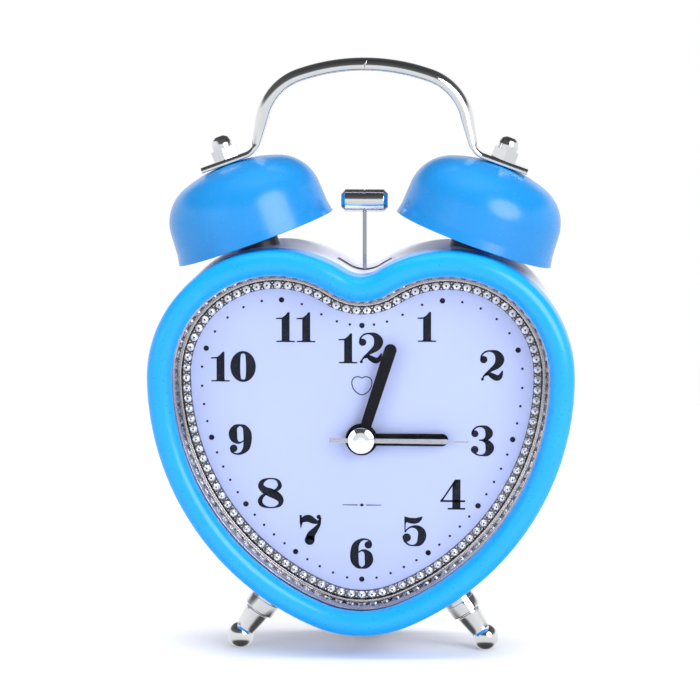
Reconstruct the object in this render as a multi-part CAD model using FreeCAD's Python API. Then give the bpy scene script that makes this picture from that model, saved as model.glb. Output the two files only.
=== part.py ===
import FreeCAD, Part
import math
import os

# Heart-shaped twin-bell alarm clock, millimetres, +Z up, front towards -Y.
# Parts are drawn with Y measured back from the front of the bezel and Z measured up from the
# surface the clock stands on. save() then centres the depth on the origin.

V = FreeCAD.Vector
DEPTH = 52.0                      # bezel front to the back of the bells and knobs

# ---- heart outline of the bezel: four tangent circles, mirrored about X = 0 ----
HEART_Z = 61.0                    # height of the outline's own origin
LOBE_X, LOBE_Z, LOBE_R = 24.0, 18.1, 35.8
TIP_Z, TIP_R = -20.75, 34.0
FLANK_R = 76.4
NOTCH_R = 8.06

# ---- front to back stations of the body ----
BEZEL_WIDTH = 7.0                 # face width of the blue ring
BEZEL_NOSE = 3.4                  # radius of its half-round nose
LENS_FRONT, LENS_BACK, LENS_INSET = 4.5, 6.0, 5.2
CASE_FRONT, CASE_BACK = 13.0, 44.0
CASE_INSET, CASE_WALL = 0.4, 2.0
DIAL_FRONT, DIAL_BACK, DIAL_INSET = 12.4, 13.0, 3.2
COVER_BACK = 46.0
TRIM_FACE = 11.7                  # front of the flange that carries the stones
TRIM_INNER = 11.9                 # inset of the flange's inner edge

# ---- stones on the trim ring ----
STONE_INSET, STONE_R, STONE_TABLE_R, STONE_H = 10.3, 1.15, 0.62, 0.9
STONE_COUNT = 103
STONE_SIDES = 8

# ---- hands and the movement's axes ----
HAND_Z = 61.1
MINUTE_ANGLE, HOUR_ANGLE, SECOND_ANGLE, ALARM_ANGLE = 17.8, 90.0, 90.3, 90.0
SECOND_SHAFT_R = 0.7
MINUTE_TUBE_R = 1.55
HOUR_TUBE_R = 2.1
ALARM_TUBE_R = 2.6
RUNNING = 0.05                    # radial clearance of a running fit
STEM_R = 1.2
PIN_R = 0.4

FINE_MODULE = 0.25                # seconds train
MINUTE_MODULE = 0.4               # minute pinion, transfer wheel and alarm gears
SECONDS_TEETH = {"pinion": 8, "intermediate": 40, "second": 48, "third": 60, "centre": 64}
MINUTE_TEETH = {"cannon": 12, "transfer": 36, "transfer_pinion": 10, "hour": 40}
ALARM_TEETH = {"wheel": 40, "setter": 20}

# ---- bells ----
BELL_X, BELL_Z = 30.9, 115.9      # centre of the rim
BELL_RIM_R, BELL_RIM_H = 23.3, 0.3
BELL_Y = DEPTH - BELL_RIM_R       # the rims end level with the knobs
BELL_TILT = 20.0
BELL_TOP = 22.8
BELL_CROWN_R, BELL_CROWN_ANGLE = 42.0, 19.7
BELL_SHOULDER_R, BELL_SHOULDER_ANGLE = 12.4, 64.3
BELL_WALL_R, BELL_WALL_H = 22.7, 3.2
BELL_SHELL = 0.8
POST_BASE = -0.6                  # where the post stands, below the rim plane
STUD_R, STUD_CLEAR = 2.0, 0.1

# ---- handle ----
HANDLE_TOP = 165.8                # height of the centreline's top
HANDLE_ARCH_TURN, HANDLE_ARCH_R = 19.0, 56.0
HANDLE_LEG_TURN, HANDLE_SHOULDER_R = 77.0, 16.0
HANDLE_LEG_X, HANDLE_LEG_Z = 29.7, 147.8
HANDLE_ANKLE_R = 4.5
HANDLE_THICK, HANDLE_WIDTH = 3.6, 8.0
HANDLE_TAPER = 3.0                 # length over which each leg flattens into its foot
FOOT_THICK, FOOT_WIDTH, FOOT_REACH = 1.6, 9.0, 7.6
NUT_HEX_H, NUT_DOME_R, NUT_H = 3.0, 2.9, 6.6     # acorn nut: hexagon height, dome radius, total
STUD_REACH = 4.4                   # how far a stud stands above the handle's foot

# ---- hammer and striker ----
HAMMER_Z, HAMMER_R, HAMMER_LENGTH = 127.0, 3.2, 13.2
ARM_PIVOT_Z = 99.0
STRIKER_Z, MOTOR_X = 88.0, 10.0
STRIKER_MODULE, STRIKER_TEETH, MOTOR_TEETH = 0.5, 30, 10
THROW = 1.0                       # offset of the eccentric pin

# ---- legs ----
LEG_BALL_X, LEG_BALL_Z, LEG_BALL_R = 34.9, 3.55, 3.7
LEG_Y, LEG_TILT = 18.0, 35.0
LEG_SEAT = 12.6                   # distance from the ball's centre to the collar
LEG_COLLAR_R = 4.5
REAR_FOOT_Y, REAR_FOOT_R = 40.0, 3.4


def save(name, *solids):
    """Write one node, centred in depth; several solids make one group."""
    shape = solids[0] if len(solids) == 1 else Part.makeCompound(list(solids))
    shape = shape.copy()
    shape.translate(V(0, -DEPTH / 2, 0))
    shape.exportStep("parts/%s.step" % name)


def polar(radius, degrees):
    """An (x, z) offset at an angle from +X towards +Z."""
    return radius * math.cos(math.radians(degrees)), radius * math.sin(math.radians(degrees))


def block(low, high):
    """A box between two corners."""
    return Part.makeBox(high[0] - low[0], high[1] - low[1], high[2] - low[2], V(*low))


def rod(x, z, radius, front, back):
    """A round bar along Y."""
    return Part.makeCylinder(radius, back - front, V(x, front, z), V(0, 1, 0))


def tube(x, z, outer, inner, front, back):
    """A tube along Y."""
    return rod(x, z, outer, front, back).cut(rod(x, z, inner, front - 1, back + 1))


def rounded_edges(corners, place, closed=True):
    """Lines and tangent arcs through corners (u, v, radius); place(u, v) gives the 3-D point."""
    count = len(corners)
    ends = []
    for i, (u, v, radius) in enumerate(corners):
        here = V(u, v, 0)
        if radius == 0 or (not closed and i in (0, count - 1)):
            ends.append((here, None, here))
            continue
        before = V(corners[i - 1][0], corners[i - 1][1], 0) - here
        after = V(corners[(i + 1) % count][0], corners[(i + 1) % count][1], 0) - here
        before.normalize()
        after.normalize()
        half = before.getAngle(after) / 2
        middle = before + after
        middle.normalize()
        reach = radius / math.tan(half)
        nearest = radius / math.sin(half) - radius
        ends.append((here + before * reach, here + middle * nearest, here + after * reach))
    edges = []
    for i, (start, middle, end) in enumerate(ends):
        if middle is not None:
            points = [place(p.x, p.y) for p in (start, middle, end)]
            edges.append(Part.Arc(*points).toShape())
        if closed or i < count - 1:
            following = ends[(i + 1) % count][0]
            if (following - end).Length > 1e-6:
                line = Part.LineSegment(place(end.x, end.y), place(following.x, following.y))
                edges.append(line.toShape())
    return edges


def rounded_face(corners, place):
    """A flat face from rounded corners."""
    return Part.Face(Part.Wire(rounded_edges(corners, place)))


def turned(corners, base, direction):
    """A solid turned about an axis; corners are (radius, height along the axis, rounding)."""
    face = rounded_face(corners, lambda r, h: V(r, 0, h))
    solid = face.revolve(V(0, 0, 0), V(0, 0, 1), 360)
    solid.Placement = FreeCAD.Placement(V(*base), FreeCAD.Rotation(V(0, 0, 1), V(*direction)))
    return solid


# ---------------------------------------------------------------- heart outline

def circle_meeting(near, near_distance, far, far_distance):
    """The left-hand point at given distances from two centres."""
    dx, dz = far[0] - near[0], far[1] - near[1]
    gap = math.hypot(dx, dz)
    along = (near_distance ** 2 - far_distance ** 2 + gap ** 2) / (2 * gap)
    aside = math.sqrt(near_distance ** 2 - along ** 2)
    return (near[0] + (dx * along + dz * aside) / gap,
            near[1] + (dz * along - dx * aside) / gap)


def heading(start, end):
    """The angle from one (x, z) point to another, in degrees."""
    return math.degrees(math.atan2(end[1] - start[1], end[0] - start[0]))


def heart_arcs():
    """The outline as (centre, radius, first angle, last angle, sense), anticlockwise from the tip.
    An inset shortens the radius where sense is -1 and lengthens it in the notch, where it is +1."""
    lobe = (LOBE_X, HEART_Z + LOBE_Z)
    tip = (0.0, HEART_Z + TIP_Z)
    flank = circle_meeting(lobe, FLANK_R - LOBE_R, tip, FLANK_R - TIP_R)
    notch = (0.0, lobe[1] + math.sqrt((NOTCH_R + LOBE_R) ** 2 - LOBE_X ** 2))
    low = heading(flank, tip)
    side = heading(flank, lobe)
    top = heading(lobe, notch)
    mirrored_lobe = (-lobe[0], lobe[1])
    mirrored_flank = (-flank[0], flank[1])
    return [
        (tip, TIP_R, -180 - low, low, -1),
        (flank, FLANK_R, low, side, -1),
        (lobe, LOBE_R, side, top, -1),
        (notch, NOTCH_R, top - 180, -top, 1),
        (mirrored_lobe, LOBE_R, 180 - top, 180 - side, -1),
        (mirrored_flank, FLANK_R, 180 - side, 180 - low, -1),
    ]


def arc_point(arc, inset, angle, y=0.0):
    """A point on an inset arc of the outline."""
    centre, radius, _, _, sense = arc
    x, z = polar(radius + sense * inset, angle)
    return V(centre[0] + x, y, centre[1] + z)


def heart_face(inset, y):
    """The flat heart inside the outline at an inset."""
    edges = []
    for arc in heart_arcs():
        first, last = arc[2], arc[3]
        points = [arc_point(arc, inset, a, y) for a in (first, (first + last) / 2, last)]
        edges.append(Part.Arc(*points).toShape())
    return Part.Face(Part.Wire(edges))


def heart_plate(inset, front, back):
    """A heart-shaped plate."""
    return heart_face(inset, front).extrude(V(0, back - front, 0))


def heart_ring(corners):
    """A closed ring with a section of corners (inset, y, rounding), turned about each arc."""
    spans = []
    for arc in heart_arcs():
        centre, _, first, last, _ = arc
        face = rounded_face(corners, lambda inset, y: arc_point(arc, inset, first, y))
        spans.append(face.revolve(V(centre[0], 0, centre[1]), V(0, -1, 0), last - first))
    return spans[0].fuse(spans[1:]).removeSplitter()


def places_along_heart(inset, count):
    """Evenly spaced (x, z, angle) places on the outline at an inset, from the tip."""
    arcs = heart_arcs()
    lengths = [(arc[1] + arc[4] * inset) * abs(math.radians(arc[3] - arc[2])) for arc in arcs]
    start = lengths[0] / 2
    places = []
    for i in range(count):
        distance = (start + sum(lengths) * i / count) % sum(lengths)
        for arc, length in zip(arcs, lengths):
            if distance <= length:
                break
            distance -= length
        angle = arc[2] + (arc[3] - arc[2]) * distance / length
        point = arc_point(arc, inset, angle)
        places.append((point.x, point.z, angle))
    return places


# ---------------------------------------------------------------- body

def front_bezel():
    """The blue ring: half-round nose, lens lip, two steps behind it."""
    w = BEZEL_WIDTH
    return heart_ring([
        (0, CASE_FRONT, 0), (0, 0, BEZEL_NOSE), (w, 0, BEZEL_NOSE), (w, LENS_FRONT, 0),
        (5.0, LENS_FRONT, 0), (5.0, 6.8, 0), (3.0, 6.8, 0), (3.0, 9.5, 0), (1.5, 9.5, 0),
        (1.5, CASE_FRONT, 0)])


def trim_ring():
    """A chromed wall and flange between the lens and the dial, with a bead round the dial."""
    return heart_ring([
        (LENS_INSET, LENS_BACK, 0), (7.2, LENS_BACK, 0), (8.4, 11.1, 0.2), (9.0, 11.1, 0.2),
        (9.0, TRIM_FACE, 0), (TRIM_INNER, TRIM_FACE, 0), (TRIM_INNER, DIAL_FRONT, 0),
        (8.3, DIAL_FRONT, 0), (6.7, 6.7, 0), (LENS_INSET, 6.7, 0)])


def stone(x, z, turn):
    """One cut stone: an eight-sided frustum."""
    rings = []
    for radius, y in ((STONE_R, TRIM_FACE), (STONE_TABLE_R, TRIM_FACE - STONE_H)):
        points = []
        for k in range(STONE_SIDES + 1):
            dx, dz = polar(radius, turn + 360.0 * k / STONE_SIDES)
            points.append(V(x + dx, y, z + dz))
        rings.append(Part.makePolygon(points))
    return Part.makeLoft(rings, True, True)


def trim_crystals():
    """The row of stones on the trim ring's flange."""
    return [stone(*place) for place in places_along_heart(STONE_INSET, STONE_COUNT)]


def dial_plate():
    """The dial, with a hole for the movement's bush."""
    return heart_plate(DIAL_INSET, DIAL_FRONT, DIAL_BACK).cut(rod(0, HAND_Z, 3.8, 0, 20))


def bell_point(side, height):
    """A point on a bell's axis above the rim plane."""
    lean = math.radians(BELL_TILT)
    return V(side * (BELL_X + height * math.sin(lean)), BELL_Y, BELL_Z + height * math.cos(lean))


def bell_axis(side):
    """The outward direction of a bell's axis."""
    lean = math.radians(BELL_TILT)
    return V(side * math.sin(lean), 0, math.cos(lean))


def bell_rod(side, radius, low, high):
    """A round bar on a bell's axis."""
    return Part.makeCylinder(radius, high - low, bell_point(side, low), bell_axis(side))


def leg_point(side, distance):
    """A point on a leg's axis, measured from the ball's centre."""
    lean = math.radians(LEG_TILT)
    return V(side * (LEG_BALL_X - distance * math.sin(lean)), LEG_Y,
             LEG_BALL_Z + distance * math.cos(lean))


def leg_axis(side):
    """The direction from a leg's ball to the case."""
    lean = math.radians(LEG_TILT)
    return V(-side * math.sin(lean), 0, math.cos(lean))


def leg_rod(side, radius, low, high):
    """A round bar on a leg's axis."""
    return Part.makeCylinder(radius, high - low, leg_point(side, low), leg_axis(side))


def cover_screw_places():
    """Where the back cover's screws go: two in the lobes, two on the flanks."""
    _, flank, lobe, _, other_lobe, other_flank = heart_arcs()
    inset = 6.5
    spots = ((lobe, 20), (other_lobe, 160), (flank, -42), (other_flank, 222))
    return [arc_point(arc, inset, angle) for arc, angle in spots]


def case_shell():
    """The drum with the dial ledge, bosses for bells, legs and screws, and the hammer's slot."""
    i = CASE_INSET
    inner = i + CASE_WALL
    shell = heart_ring([
        (i, CASE_FRONT, 0), (1.6, CASE_FRONT, 0), (1.6, 9.6, 0), (3.0, 9.6, 0),
        (3.0, DIAL_BACK, 0), (5.0, DIAL_BACK, 0), (5.0, 15.0, 0), (inner, 15.0, 0),
        (inner, CASE_BACK, 0), (i, CASE_BACK, 0)])
    bosses = []
    holes = []
    for side in (-1, 1):
        bosses += [bell_rod(side, 5.5, -6.5, POST_BASE), leg_rod(side, 4.4, 13.6, 19.0)]
        holes += [bell_rod(side, STUD_R + STUD_CLEAR, -8, 0), leg_rod(side, 1.6, 12, 21)]
    for p in cover_screw_places():
        bosses.append(rod(p.x, p.z, 4.4, 34, CASE_BACK - 3))
        holes.append(rod(p.x, p.z, 1.45, 33, CASE_BACK))
    trimmed = [boss.common(heart_plate(i, 10, CASE_BACK)) for boss in bosses[4:]]
    holes.append(block((-8, BELL_Y - 1.5, 103), (8, BELL_Y + 1.5, 118)))
    return shell.fuse(bosses[:4] + trimmed).cut(holes).removeSplitter()


# ---------------------------------------------------------------- bells and handle

def bell_outline(inset):
    """Edges of a bell's generator at an inset from the outside, from the crown hole to the rim."""
    crown = BELL_CROWN_R - inset
    shoulder = BELL_SHOULDER_R - inset
    crown_centre = (0.0, BELL_TOP - BELL_CROWN_R)
    turn = 90 - BELL_CROWN_ANGLE
    dx, dh = polar(BELL_CROWN_R - BELL_SHOULDER_R, turn)
    shoulder_centre = (dx, crown_centre[1] + dh)
    hole = STUD_R + STUD_CLEAR
    start = math.degrees(math.acos(hole / crown))
    finish = turn - BELL_SHOULDER_ANGLE
    points = []
    for centre, radius, angles in ((crown_centre, crown, (start, (start + turn) / 2, turn)),
                                   (shoulder_centre, shoulder, (turn, (turn + finish) / 2, finish))):
        points.append([V(centre[0] + polar(radius, a)[0], 0, centre[1] + polar(radius, a)[1])
                       for a in angles])
    wall = V(BELL_WALL_R - inset, 0, BELL_WALL_H)
    rim = V(BELL_RIM_R - inset, 0, BELL_RIM_H)
    edges = [Part.Arc(*arc).toShape() for arc in points]
    edges.append(Part.LineSegment(points[1][2], wall).toShape())
    edges.append(Part.LineSegment(wall, rim).toShape())
    return edges, points[0][0], rim


def bell(side):
    """One lacquered steel cup with a flared lip."""
    outer, outer_top, outer_rim = bell_outline(0)
    inner, inner_top, inner_rim = bell_outline(BELL_SHELL)
    joins = [Part.LineSegment(outer_top, inner_top).toShape(),
             Part.LineSegment(outer_rim, inner_rim).toShape()]
    wire = Part.Wire(Part.__sortEdges__(outer + inner + joins))
    cup = Part.Face(wire).revolve(V(0, 0, 0), V(0, 0, 1), 360)
    cup.Placement = FreeCAD.Placement(bell_point(side, 0), FreeCAD.Rotation(V(0, 0, 1), bell_axis(side)))
    return cup


def bell_post(side):
    """The spacer between the case and the inside of a bell."""
    top = BELL_TOP - BELL_SHELL - 0.35
    neck, collar = 3.0, 4.2
    profile = [
        (STUD_R + STUD_CLEAR, POST_BASE, 0), (collar, POST_BASE, 0), (collar, POST_BASE + 1.8, 0.6),
        (neck, POST_BASE + 3.0, 0), (neck, top, 0), (STUD_R + STUD_CLEAR, top, 0)]
    return turned(profile, bell_point(side, 0), bell_axis(side))


def hexagon_nut(side, low, high, bore):
    """A hexagon nut on a bell's axis, 7 mm across flats."""
    corner = 7.0 / math.sqrt(3)
    points = [V(*polar(corner, 60 * k + 30), 0) for k in range(7)]
    nut = Part.Face(Part.makePolygon(points)).extrude(V(0, 0, high - low))
    nut = nut.cut(Part.makeCylinder(bore, high - low))
    nut.Placement = FreeCAD.Placement(bell_point(side, low), FreeCAD.Rotation(V(0, 0, 1), bell_axis(side)))
    return nut


def acorn_nut(side):
    """A hexagon with a domed cap, closed over the end of the stud."""
    base = BELL_TOP + FOOT_THICK
    hexagon = hexagon_nut(side, base, base + NUT_HEX_H, STUD_R)
    profile = [(0, NUT_HEX_H, 0), (NUT_DOME_R, NUT_HEX_H, 0), (NUT_DOME_R, 4.4, 0.8), (2.4, 5.9, 0.8),
               (1.2, NUT_H, 0.9), (0, NUT_H, 0)]
    dome = turned(profile, bell_point(side, base), bell_axis(side))
    return hexagon.fuse(dome).cut(bell_rod(side, STUD_R, base, base + STUD_REACH + 0.2)).removeSplitter()


def handle():
    """A formed chromed strip: arch, two legs that flatten, and two feet with a hole each."""
    turn = math.radians(HANDLE_ARCH_TURN)
    leg = math.radians(HANDLE_LEG_TURN)
    foot = math.radians(BELL_TILT)
    brow_x = HANDLE_ARCH_R * math.tan(turn / 2)
    # shoulder corner: the sloping brow line meets the leg line
    reach = ((HANDLE_LEG_X - brow_x) * math.sin(leg) - (HANDLE_TOP - HANDLE_LEG_Z) * math.cos(leg)
             ) / math.sin(leg - turn)
    shoulder = V(brow_x + reach * math.cos(turn), 0, HANDLE_TOP - reach * math.sin(turn))
    # ankle corner: the leg line meets the foot's middle plane
    seat = bell_point(1, BELL_TOP + FOOT_THICK / 2)
    dx, dz = seat.x - shoulder.x, shoulder.z - seat.z
    drop = (dx * math.sin(foot) - dz * math.cos(foot)) / -math.sin(leg - foot)
    ankle = V(shoulder.x + drop * math.cos(leg), 0, shoulder.z - drop * math.sin(leg))
    toe = V(seat.x + FOOT_REACH * math.cos(foot), 0, seat.z - FOOT_REACH * math.sin(foot))
    bend = leg - turn
    after_shoulder = HANDLE_SHOULDER_R * math.tan(bend / 2)
    before_ankle = HANDLE_ANKLE_R * math.tan((leg - foot) / 2)
    down = V(math.cos(leg), 0, -math.sin(leg))
    leg_top = shoulder + down * after_shoulder
    taper_end = ankle - down * before_ankle
    taper_top = taper_end - down * HANDLE_TAPER

    def section(point, direction, thick, width, rounding):
        """A rounded strip section across a direction in the XZ plane."""
        normal = V(-direction.z, 0, direction.x)
        corners = [(thick / 2, -width / 2, rounding), (thick / 2, width / 2, rounding),
                   (-thick / 2, width / 2, rounding), (-thick / 2, -width / 2, rounding)]
        return Part.Wire(rounded_edges(corners, lambda u, v: point + normal * u + V(0, BELL_Y + v, 0)))

    def swing(wire, centre, degrees):
        """Sweep a section about a bend's axis."""
        return Part.Face(wire).revolve(V(centre.x, 0, centre.z), V(0, 1, 0), degrees)

    arch_round, foot_round = 1.5, 0.7
    full = (HANDLE_THICK, HANDLE_WIDTH, arch_round)
    flat = (FOOT_THICK, FOOT_WIDTH, foot_round)
    brow = V(math.cos(turn), 0, -math.sin(turn))
    sole = V(math.cos(foot), 0, -math.sin(foot))
    brow_end = V(brow_x, 0, HANDLE_TOP) + brow * brow_x
    shoulder_start = shoulder - brow * after_shoulder
    ankle_end = ankle + sole * before_ankle
    inward = V(-math.sin(leg), 0, -math.cos(leg))
    pieces = [
        swing(section(V(0, 0, HANDLE_TOP), V(1, 0, 0), *full), V(0, 0, HANDLE_TOP - HANDLE_ARCH_R),
              HANDLE_ARCH_TURN),
        Part.Face(section(brow_end, brow, *full)).extrude(shoulder_start - brow_end),
        swing(section(leg_top, down, *full), leg_top + inward * HANDLE_SHOULDER_R,
              HANDLE_ARCH_TURN - HANDLE_LEG_TURN),
        Part.Face(section(leg_top, down, *full)).extrude(taper_top - leg_top),
        Part.makeLoft([section(taper_top, down, *full), section(taper_end, down, *flat)], True, True),
        swing(section(taper_end, down, *flat), taper_end - inward * HANDLE_ANKLE_R,
              BELL_TILT - HANDLE_LEG_TURN),
        Part.Face(section(ankle_end, sole, *flat)).extrude(toe - ankle_end),
    ]
    half = pieces[0].fuse(pieces[1:])
    half = half.cut(bell_rod(1, STUD_R + STUD_CLEAR, BELL_TOP - 2, BELL_TOP + 4))
    return half.fuse(half.mirror(V(0, 0, 0), V(1, 0, 0))).removeSplitter()


# ---------------------------------------------------------------- legs

def leg(side):
    """A turned leg: ball foot with a small flat, flared shank, groove and collar."""
    shank = turned([
        (0, 1.5, 0), (2.8, 1.5, 0), (2.85, 3.0, 0), (3.6, 8.6, 0.3), (3.2, 8.6, 0), (3.2, 9.0, 0),
        (LEG_COLLAR_R, 9.0, 0.3), (LEG_COLLAR_R, LEG_SEAT, 0.2), (0, LEG_SEAT, 0)],
        leg_point(side, 0), leg_axis(side))
    ball = Part.makeSphere(LEG_BALL_R, leg_point(side, 0))
    below = block((-60, 0, -5), (60, 40, 0))
    return shank.fuse(ball).cut([below, leg_rod(side, 1.55, 6.0, 20.0)]).removeSplitter()


def leg_screw(side):
    """A pan-head screw from inside the case into a leg."""
    return leg_rod(side, 1.5, 6.5, 19.0).fuse(leg_rod(side, 2.9, 19.0, 21.0)).removeSplitter()


def rear_foot():
    """A rubber foot under the back of the case, shaped to the case's curve."""
    post = Part.makeCone(REAR_FOOT_R, REAR_FOOT_R + 0.8, 12, V(0, REAR_FOOT_Y, 0), V(0, 0, 1))
    return post.cut(heart_plate(CASE_INSET, 10, 50))


# ---------------------------------------------------------------- gears

TOOTH_HEIGHT = 0.8                # addendum, in modules
ROOT_DEPTH = 1.05                 # dedendum, in modules
PITCH_SHARE, TIP_SHARE = 0.40, 0.20   # tooth width as a share of the tooth pitch


def gear(x, z, teeth, module, front, back, first_tooth, bore):
    """A spur gear with slim straight-flanked teeth; first_tooth is the angle of one tooth."""
    pitch_r = module * teeth / 2
    root_r = pitch_r - ROOT_DEPTH * module
    tip_r = pitch_r + TOOTH_HEIGHT * module
    step = 360.0 / teeth
    slope = (PITCH_SHARE - TIP_SHARE) / TOOTH_HEIGHT
    root_share = PITCH_SHARE + slope * ROOT_DEPTH
    points = []
    for i in range(teeth):
        middle = first_tooth + i * step
        corners = ((root_r, -root_share), (tip_r, -TIP_SHARE), (tip_r, TIP_SHARE), (root_r, root_share))
        for radius, share in corners:
            dx, dz = polar(radius, middle + share * step / 2)
            points.append(V(x + dx, front, z + dz))
    wheel = Part.Face(Part.makePolygon(points + points[:1])).extrude(V(0, back - front, 0))
    return wheel.cut(rod(x, z, bore, front - 1, back + 1)) if bore else wheel


def meshing_tooth(place, teeth, first_tooth, other_place, other_teeth):
    """The angle of one tooth of the other gear that puts it in mesh."""
    line = heading(place, other_place)
    share = ((line - first_tooth) * teeth / 360.0) % 1.0
    return line + 180 - (0.5 - share) * 360.0 / other_teeth


# ---------------------------------------------------------------- movement

def beside(place, radius, angle):
    """A place at a distance and an angle from another."""
    dx, dz = polar(radius, angle)
    return place[0] + dx, place[1] + dz


def spacing(first, second, module):
    """The centre distance of two meshing gears."""
    return module * (first + second) / 2


S, M, A = SECONDS_TEETH, MINUTE_TEETH, ALARM_TEETH
CENTRE = (0.0, HAND_Z)
INTERMEDIATE = beside(CENTRE, spacing(S["pinion"], S["second"], FINE_MODULE), 210)
ROTOR = beside(INTERMEDIATE, spacing(S["pinion"], S["intermediate"], FINE_MODULE), 200)
THIRD_GAP = spacing(S["pinion"], S["third"], FINE_MODULE)
THIRD = beside(CENTRE, THIRD_GAP, -45)
CENTRE_MODULE = 2 * THIRD_GAP / (S["pinion"] + S["centre"])
TRANSFER_GAP = spacing(M["cannon"], M["transfer"], MINUTE_MODULE)
TRANSFER = beside(CENTRE, TRANSFER_GAP, 150)
HOUR_MODULE = 2 * TRANSFER_GAP / (M["transfer_pinion"] + M["hour"])
SETTER = beside(CENTRE, spacing(A["wheel"], A["setter"], MINUTE_MODULE), 30)
STRIKER = (0.0, STRIKER_Z)
MOTOR = (MOTOR_X, STRIKER_Z)
BOX_LEFT, BOX_RIGHT, BOX_LOW, BOX_HIGH = -21.5, 21.5, HAND_Z - 22.5, HAND_Z + 19.5
BOX_FRONT, BOX_SPLIT, BOX_BACK, BOX_WALL = 13.0, 20.0, 27.0, 1.0
COIL_Z = HAND_Z - 17.0


def movement_front_shell():
    """The front half of the movement's box, with the bush that passes through the dial."""
    tray = block((BOX_LEFT, BOX_FRONT, BOX_LOW), (BOX_RIGHT, BOX_SPLIT, BOX_HIGH))
    w = BOX_WALL
    hollow = block((BOX_LEFT + w, BOX_FRONT + w, BOX_LOW + w), (BOX_RIGHT - w, BOX_SPLIT, BOX_HIGH - w))
    bush = rod(0, HAND_Z, 3.6, 12.0, BOX_FRONT + 0.5)
    holes = [rod(0, HAND_Z, ALARM_TUBE_R + RUNNING, 11, 15)]
    holes += [rod(x, z, 0.85, 12, 15) for x, z in (TRANSFER, SETTER)]
    return tray.cut(hollow).fuse(bush).cut(holes)


def movement_rear_shell():
    """The rear half of the box, with bores for the setting stems, pins and seconds arbor."""
    w = BOX_WALL
    tray = block((BOX_LEFT, BOX_SPLIT, BOX_LOW), (BOX_RIGHT, BOX_BACK, BOX_HIGH))
    hollow = block((BOX_LEFT + w, BOX_SPLIT, BOX_LOW + w), (BOX_RIGHT - w, BOX_BACK - w, BOX_HIGH - w))
    holes = [rod(0, HAND_Z, SECOND_SHAFT_R + RUNNING, 25, 28)]
    holes += [rod(x, z, STEM_R + RUNNING, 25, 28) for x, z in (TRANSFER, SETTER)]
    holes += [rod(x, z, PIN_R, 25, 28) for x, z in (ROTOR, INTERMEDIATE, THIRD)]
    return tray.cut(hollow).cut(holes)


def wheel_pins():
    """Fixed steel pins that the rotor, intermediate wheel and third wheel turn on."""
    fronts = ((ROTOR, 19.3), (INTERMEDIATE, 22.2), (THIRD, 18.6))
    return [rod(x, z, PIN_R, front, BOX_BACK) for (x, z), front in fronts]


BORE = PIN_R + RUNNING
ROTOR_TOOTH = 0.0
INTERMEDIATE_TOOTH = meshing_tooth(ROTOR, S["pinion"], ROTOR_TOOTH, INTERMEDIATE, S["intermediate"])
SECOND_TOOTH = meshing_tooth(INTERMEDIATE, S["pinion"], 0.0, CENTRE, S["second"])
THIRD_TOOTH = meshing_tooth(CENTRE, S["pinion"], 0.0, THIRD, S["third"])
CENTRE_TOOTH = meshing_tooth(THIRD, S["pinion"], 0.0, CENTRE, S["centre"])
TRANSFER_TOOTH = meshing_tooth(CENTRE, M["cannon"], 0.0, TRANSFER, M["transfer"])
HOUR_TOOTH = meshing_tooth(TRANSFER, M["transfer_pinion"], 0.0, CENTRE, M["hour"])
SETTER_TOOTH = meshing_tooth(CENTRE, A["wheel"], 0.0, SETTER, A["setter"])
MOTOR_TOOTH = meshing_tooth(STRIKER, STRIKER_TEETH, 0.0, MOTOR, MOTOR_TEETH)


def rotor_magnet():
    """The two-pole rotor of the stepping motor."""
    return tube(*ROTOR, 3.0, 1.0, 19.6, 22.6)


def rotor_pinion():
    """The rotor's pinion with the sleeve that carries the magnet."""
    sleeve = tube(*ROTOR, 1.0, BORE, 19.6, 23.3)
    collar = tube(*ROTOR, 0.7, BORE, 23.2, 23.9)
    return sleeve.fuse([collar, gear(*ROTOR, S["pinion"], FINE_MODULE, 23.8, 24.7, ROTOR_TOOTH, BORE)])


def intermediate_wheel():
    """Takes the rotor's motion to the seconds wheel."""
    pinion = gear(*INTERMEDIATE, S["pinion"], FINE_MODULE, 22.4, 23.4, 0.0, BORE)
    hub = tube(*INTERMEDIATE, 0.7, BORE, 23.3, 24.1)
    wheel = gear(*INTERMEDIATE, S["intermediate"], FINE_MODULE, 24.0, 24.5, INTERMEDIATE_TOOTH, BORE)
    return pinion.fuse([hub, wheel])


def second_wheel():
    """The seconds arbor with its wheel and pinion; its front end carries the second hand."""
    arbor = rod(*CENTRE, SECOND_SHAFT_R, 7.6, BOX_BACK - 0.2)
    pinion = gear(*CENTRE, S["pinion"], FINE_MODULE, 21.2, 22.2, 0.0, 0)
    wheel = gear(*CENTRE, S["second"], FINE_MODULE, 22.6, 23.1, SECOND_TOOTH, 0)
    return arbor.fuse([pinion, wheel])


def third_wheel():
    """Steps the seconds wheel down to the centre wheel."""
    pinion = gear(*THIRD, S["pinion"], CENTRE_MODULE, 18.8, 19.9, 0.0, BORE)
    hub = tube(*THIRD, 0.65, BORE, 19.8, 21.5)
    wheel = gear(*THIRD, S["third"], FINE_MODULE, 21.4, 21.9, THIRD_TOOTH, BORE)
    return pinion.fuse([hub, wheel])


def centre_wheel():
    """Turns once an hour and drives the minute arbor through a friction bore."""
    return gear(*CENTRE, S["centre"], CENTRE_MODULE, 19.0, 19.6, CENTRE_TOOTH,
                MINUTE_TUBE_R + RUNNING)


def minute_arbor():
    """The cannon pinion's tube: minute hand at the front, friction seat at the back."""
    body = rod(*CENTRE, MINUTE_TUBE_R, 8.7, 20.4)
    pinion = gear(*CENTRE, M["cannon"], MINUTE_MODULE, 17.0, 18.2, 0.0, 0)
    return body.fuse(pinion).cut(rod(*CENTRE, SECOND_SHAFT_R + RUNNING, 0, 30))


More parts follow.
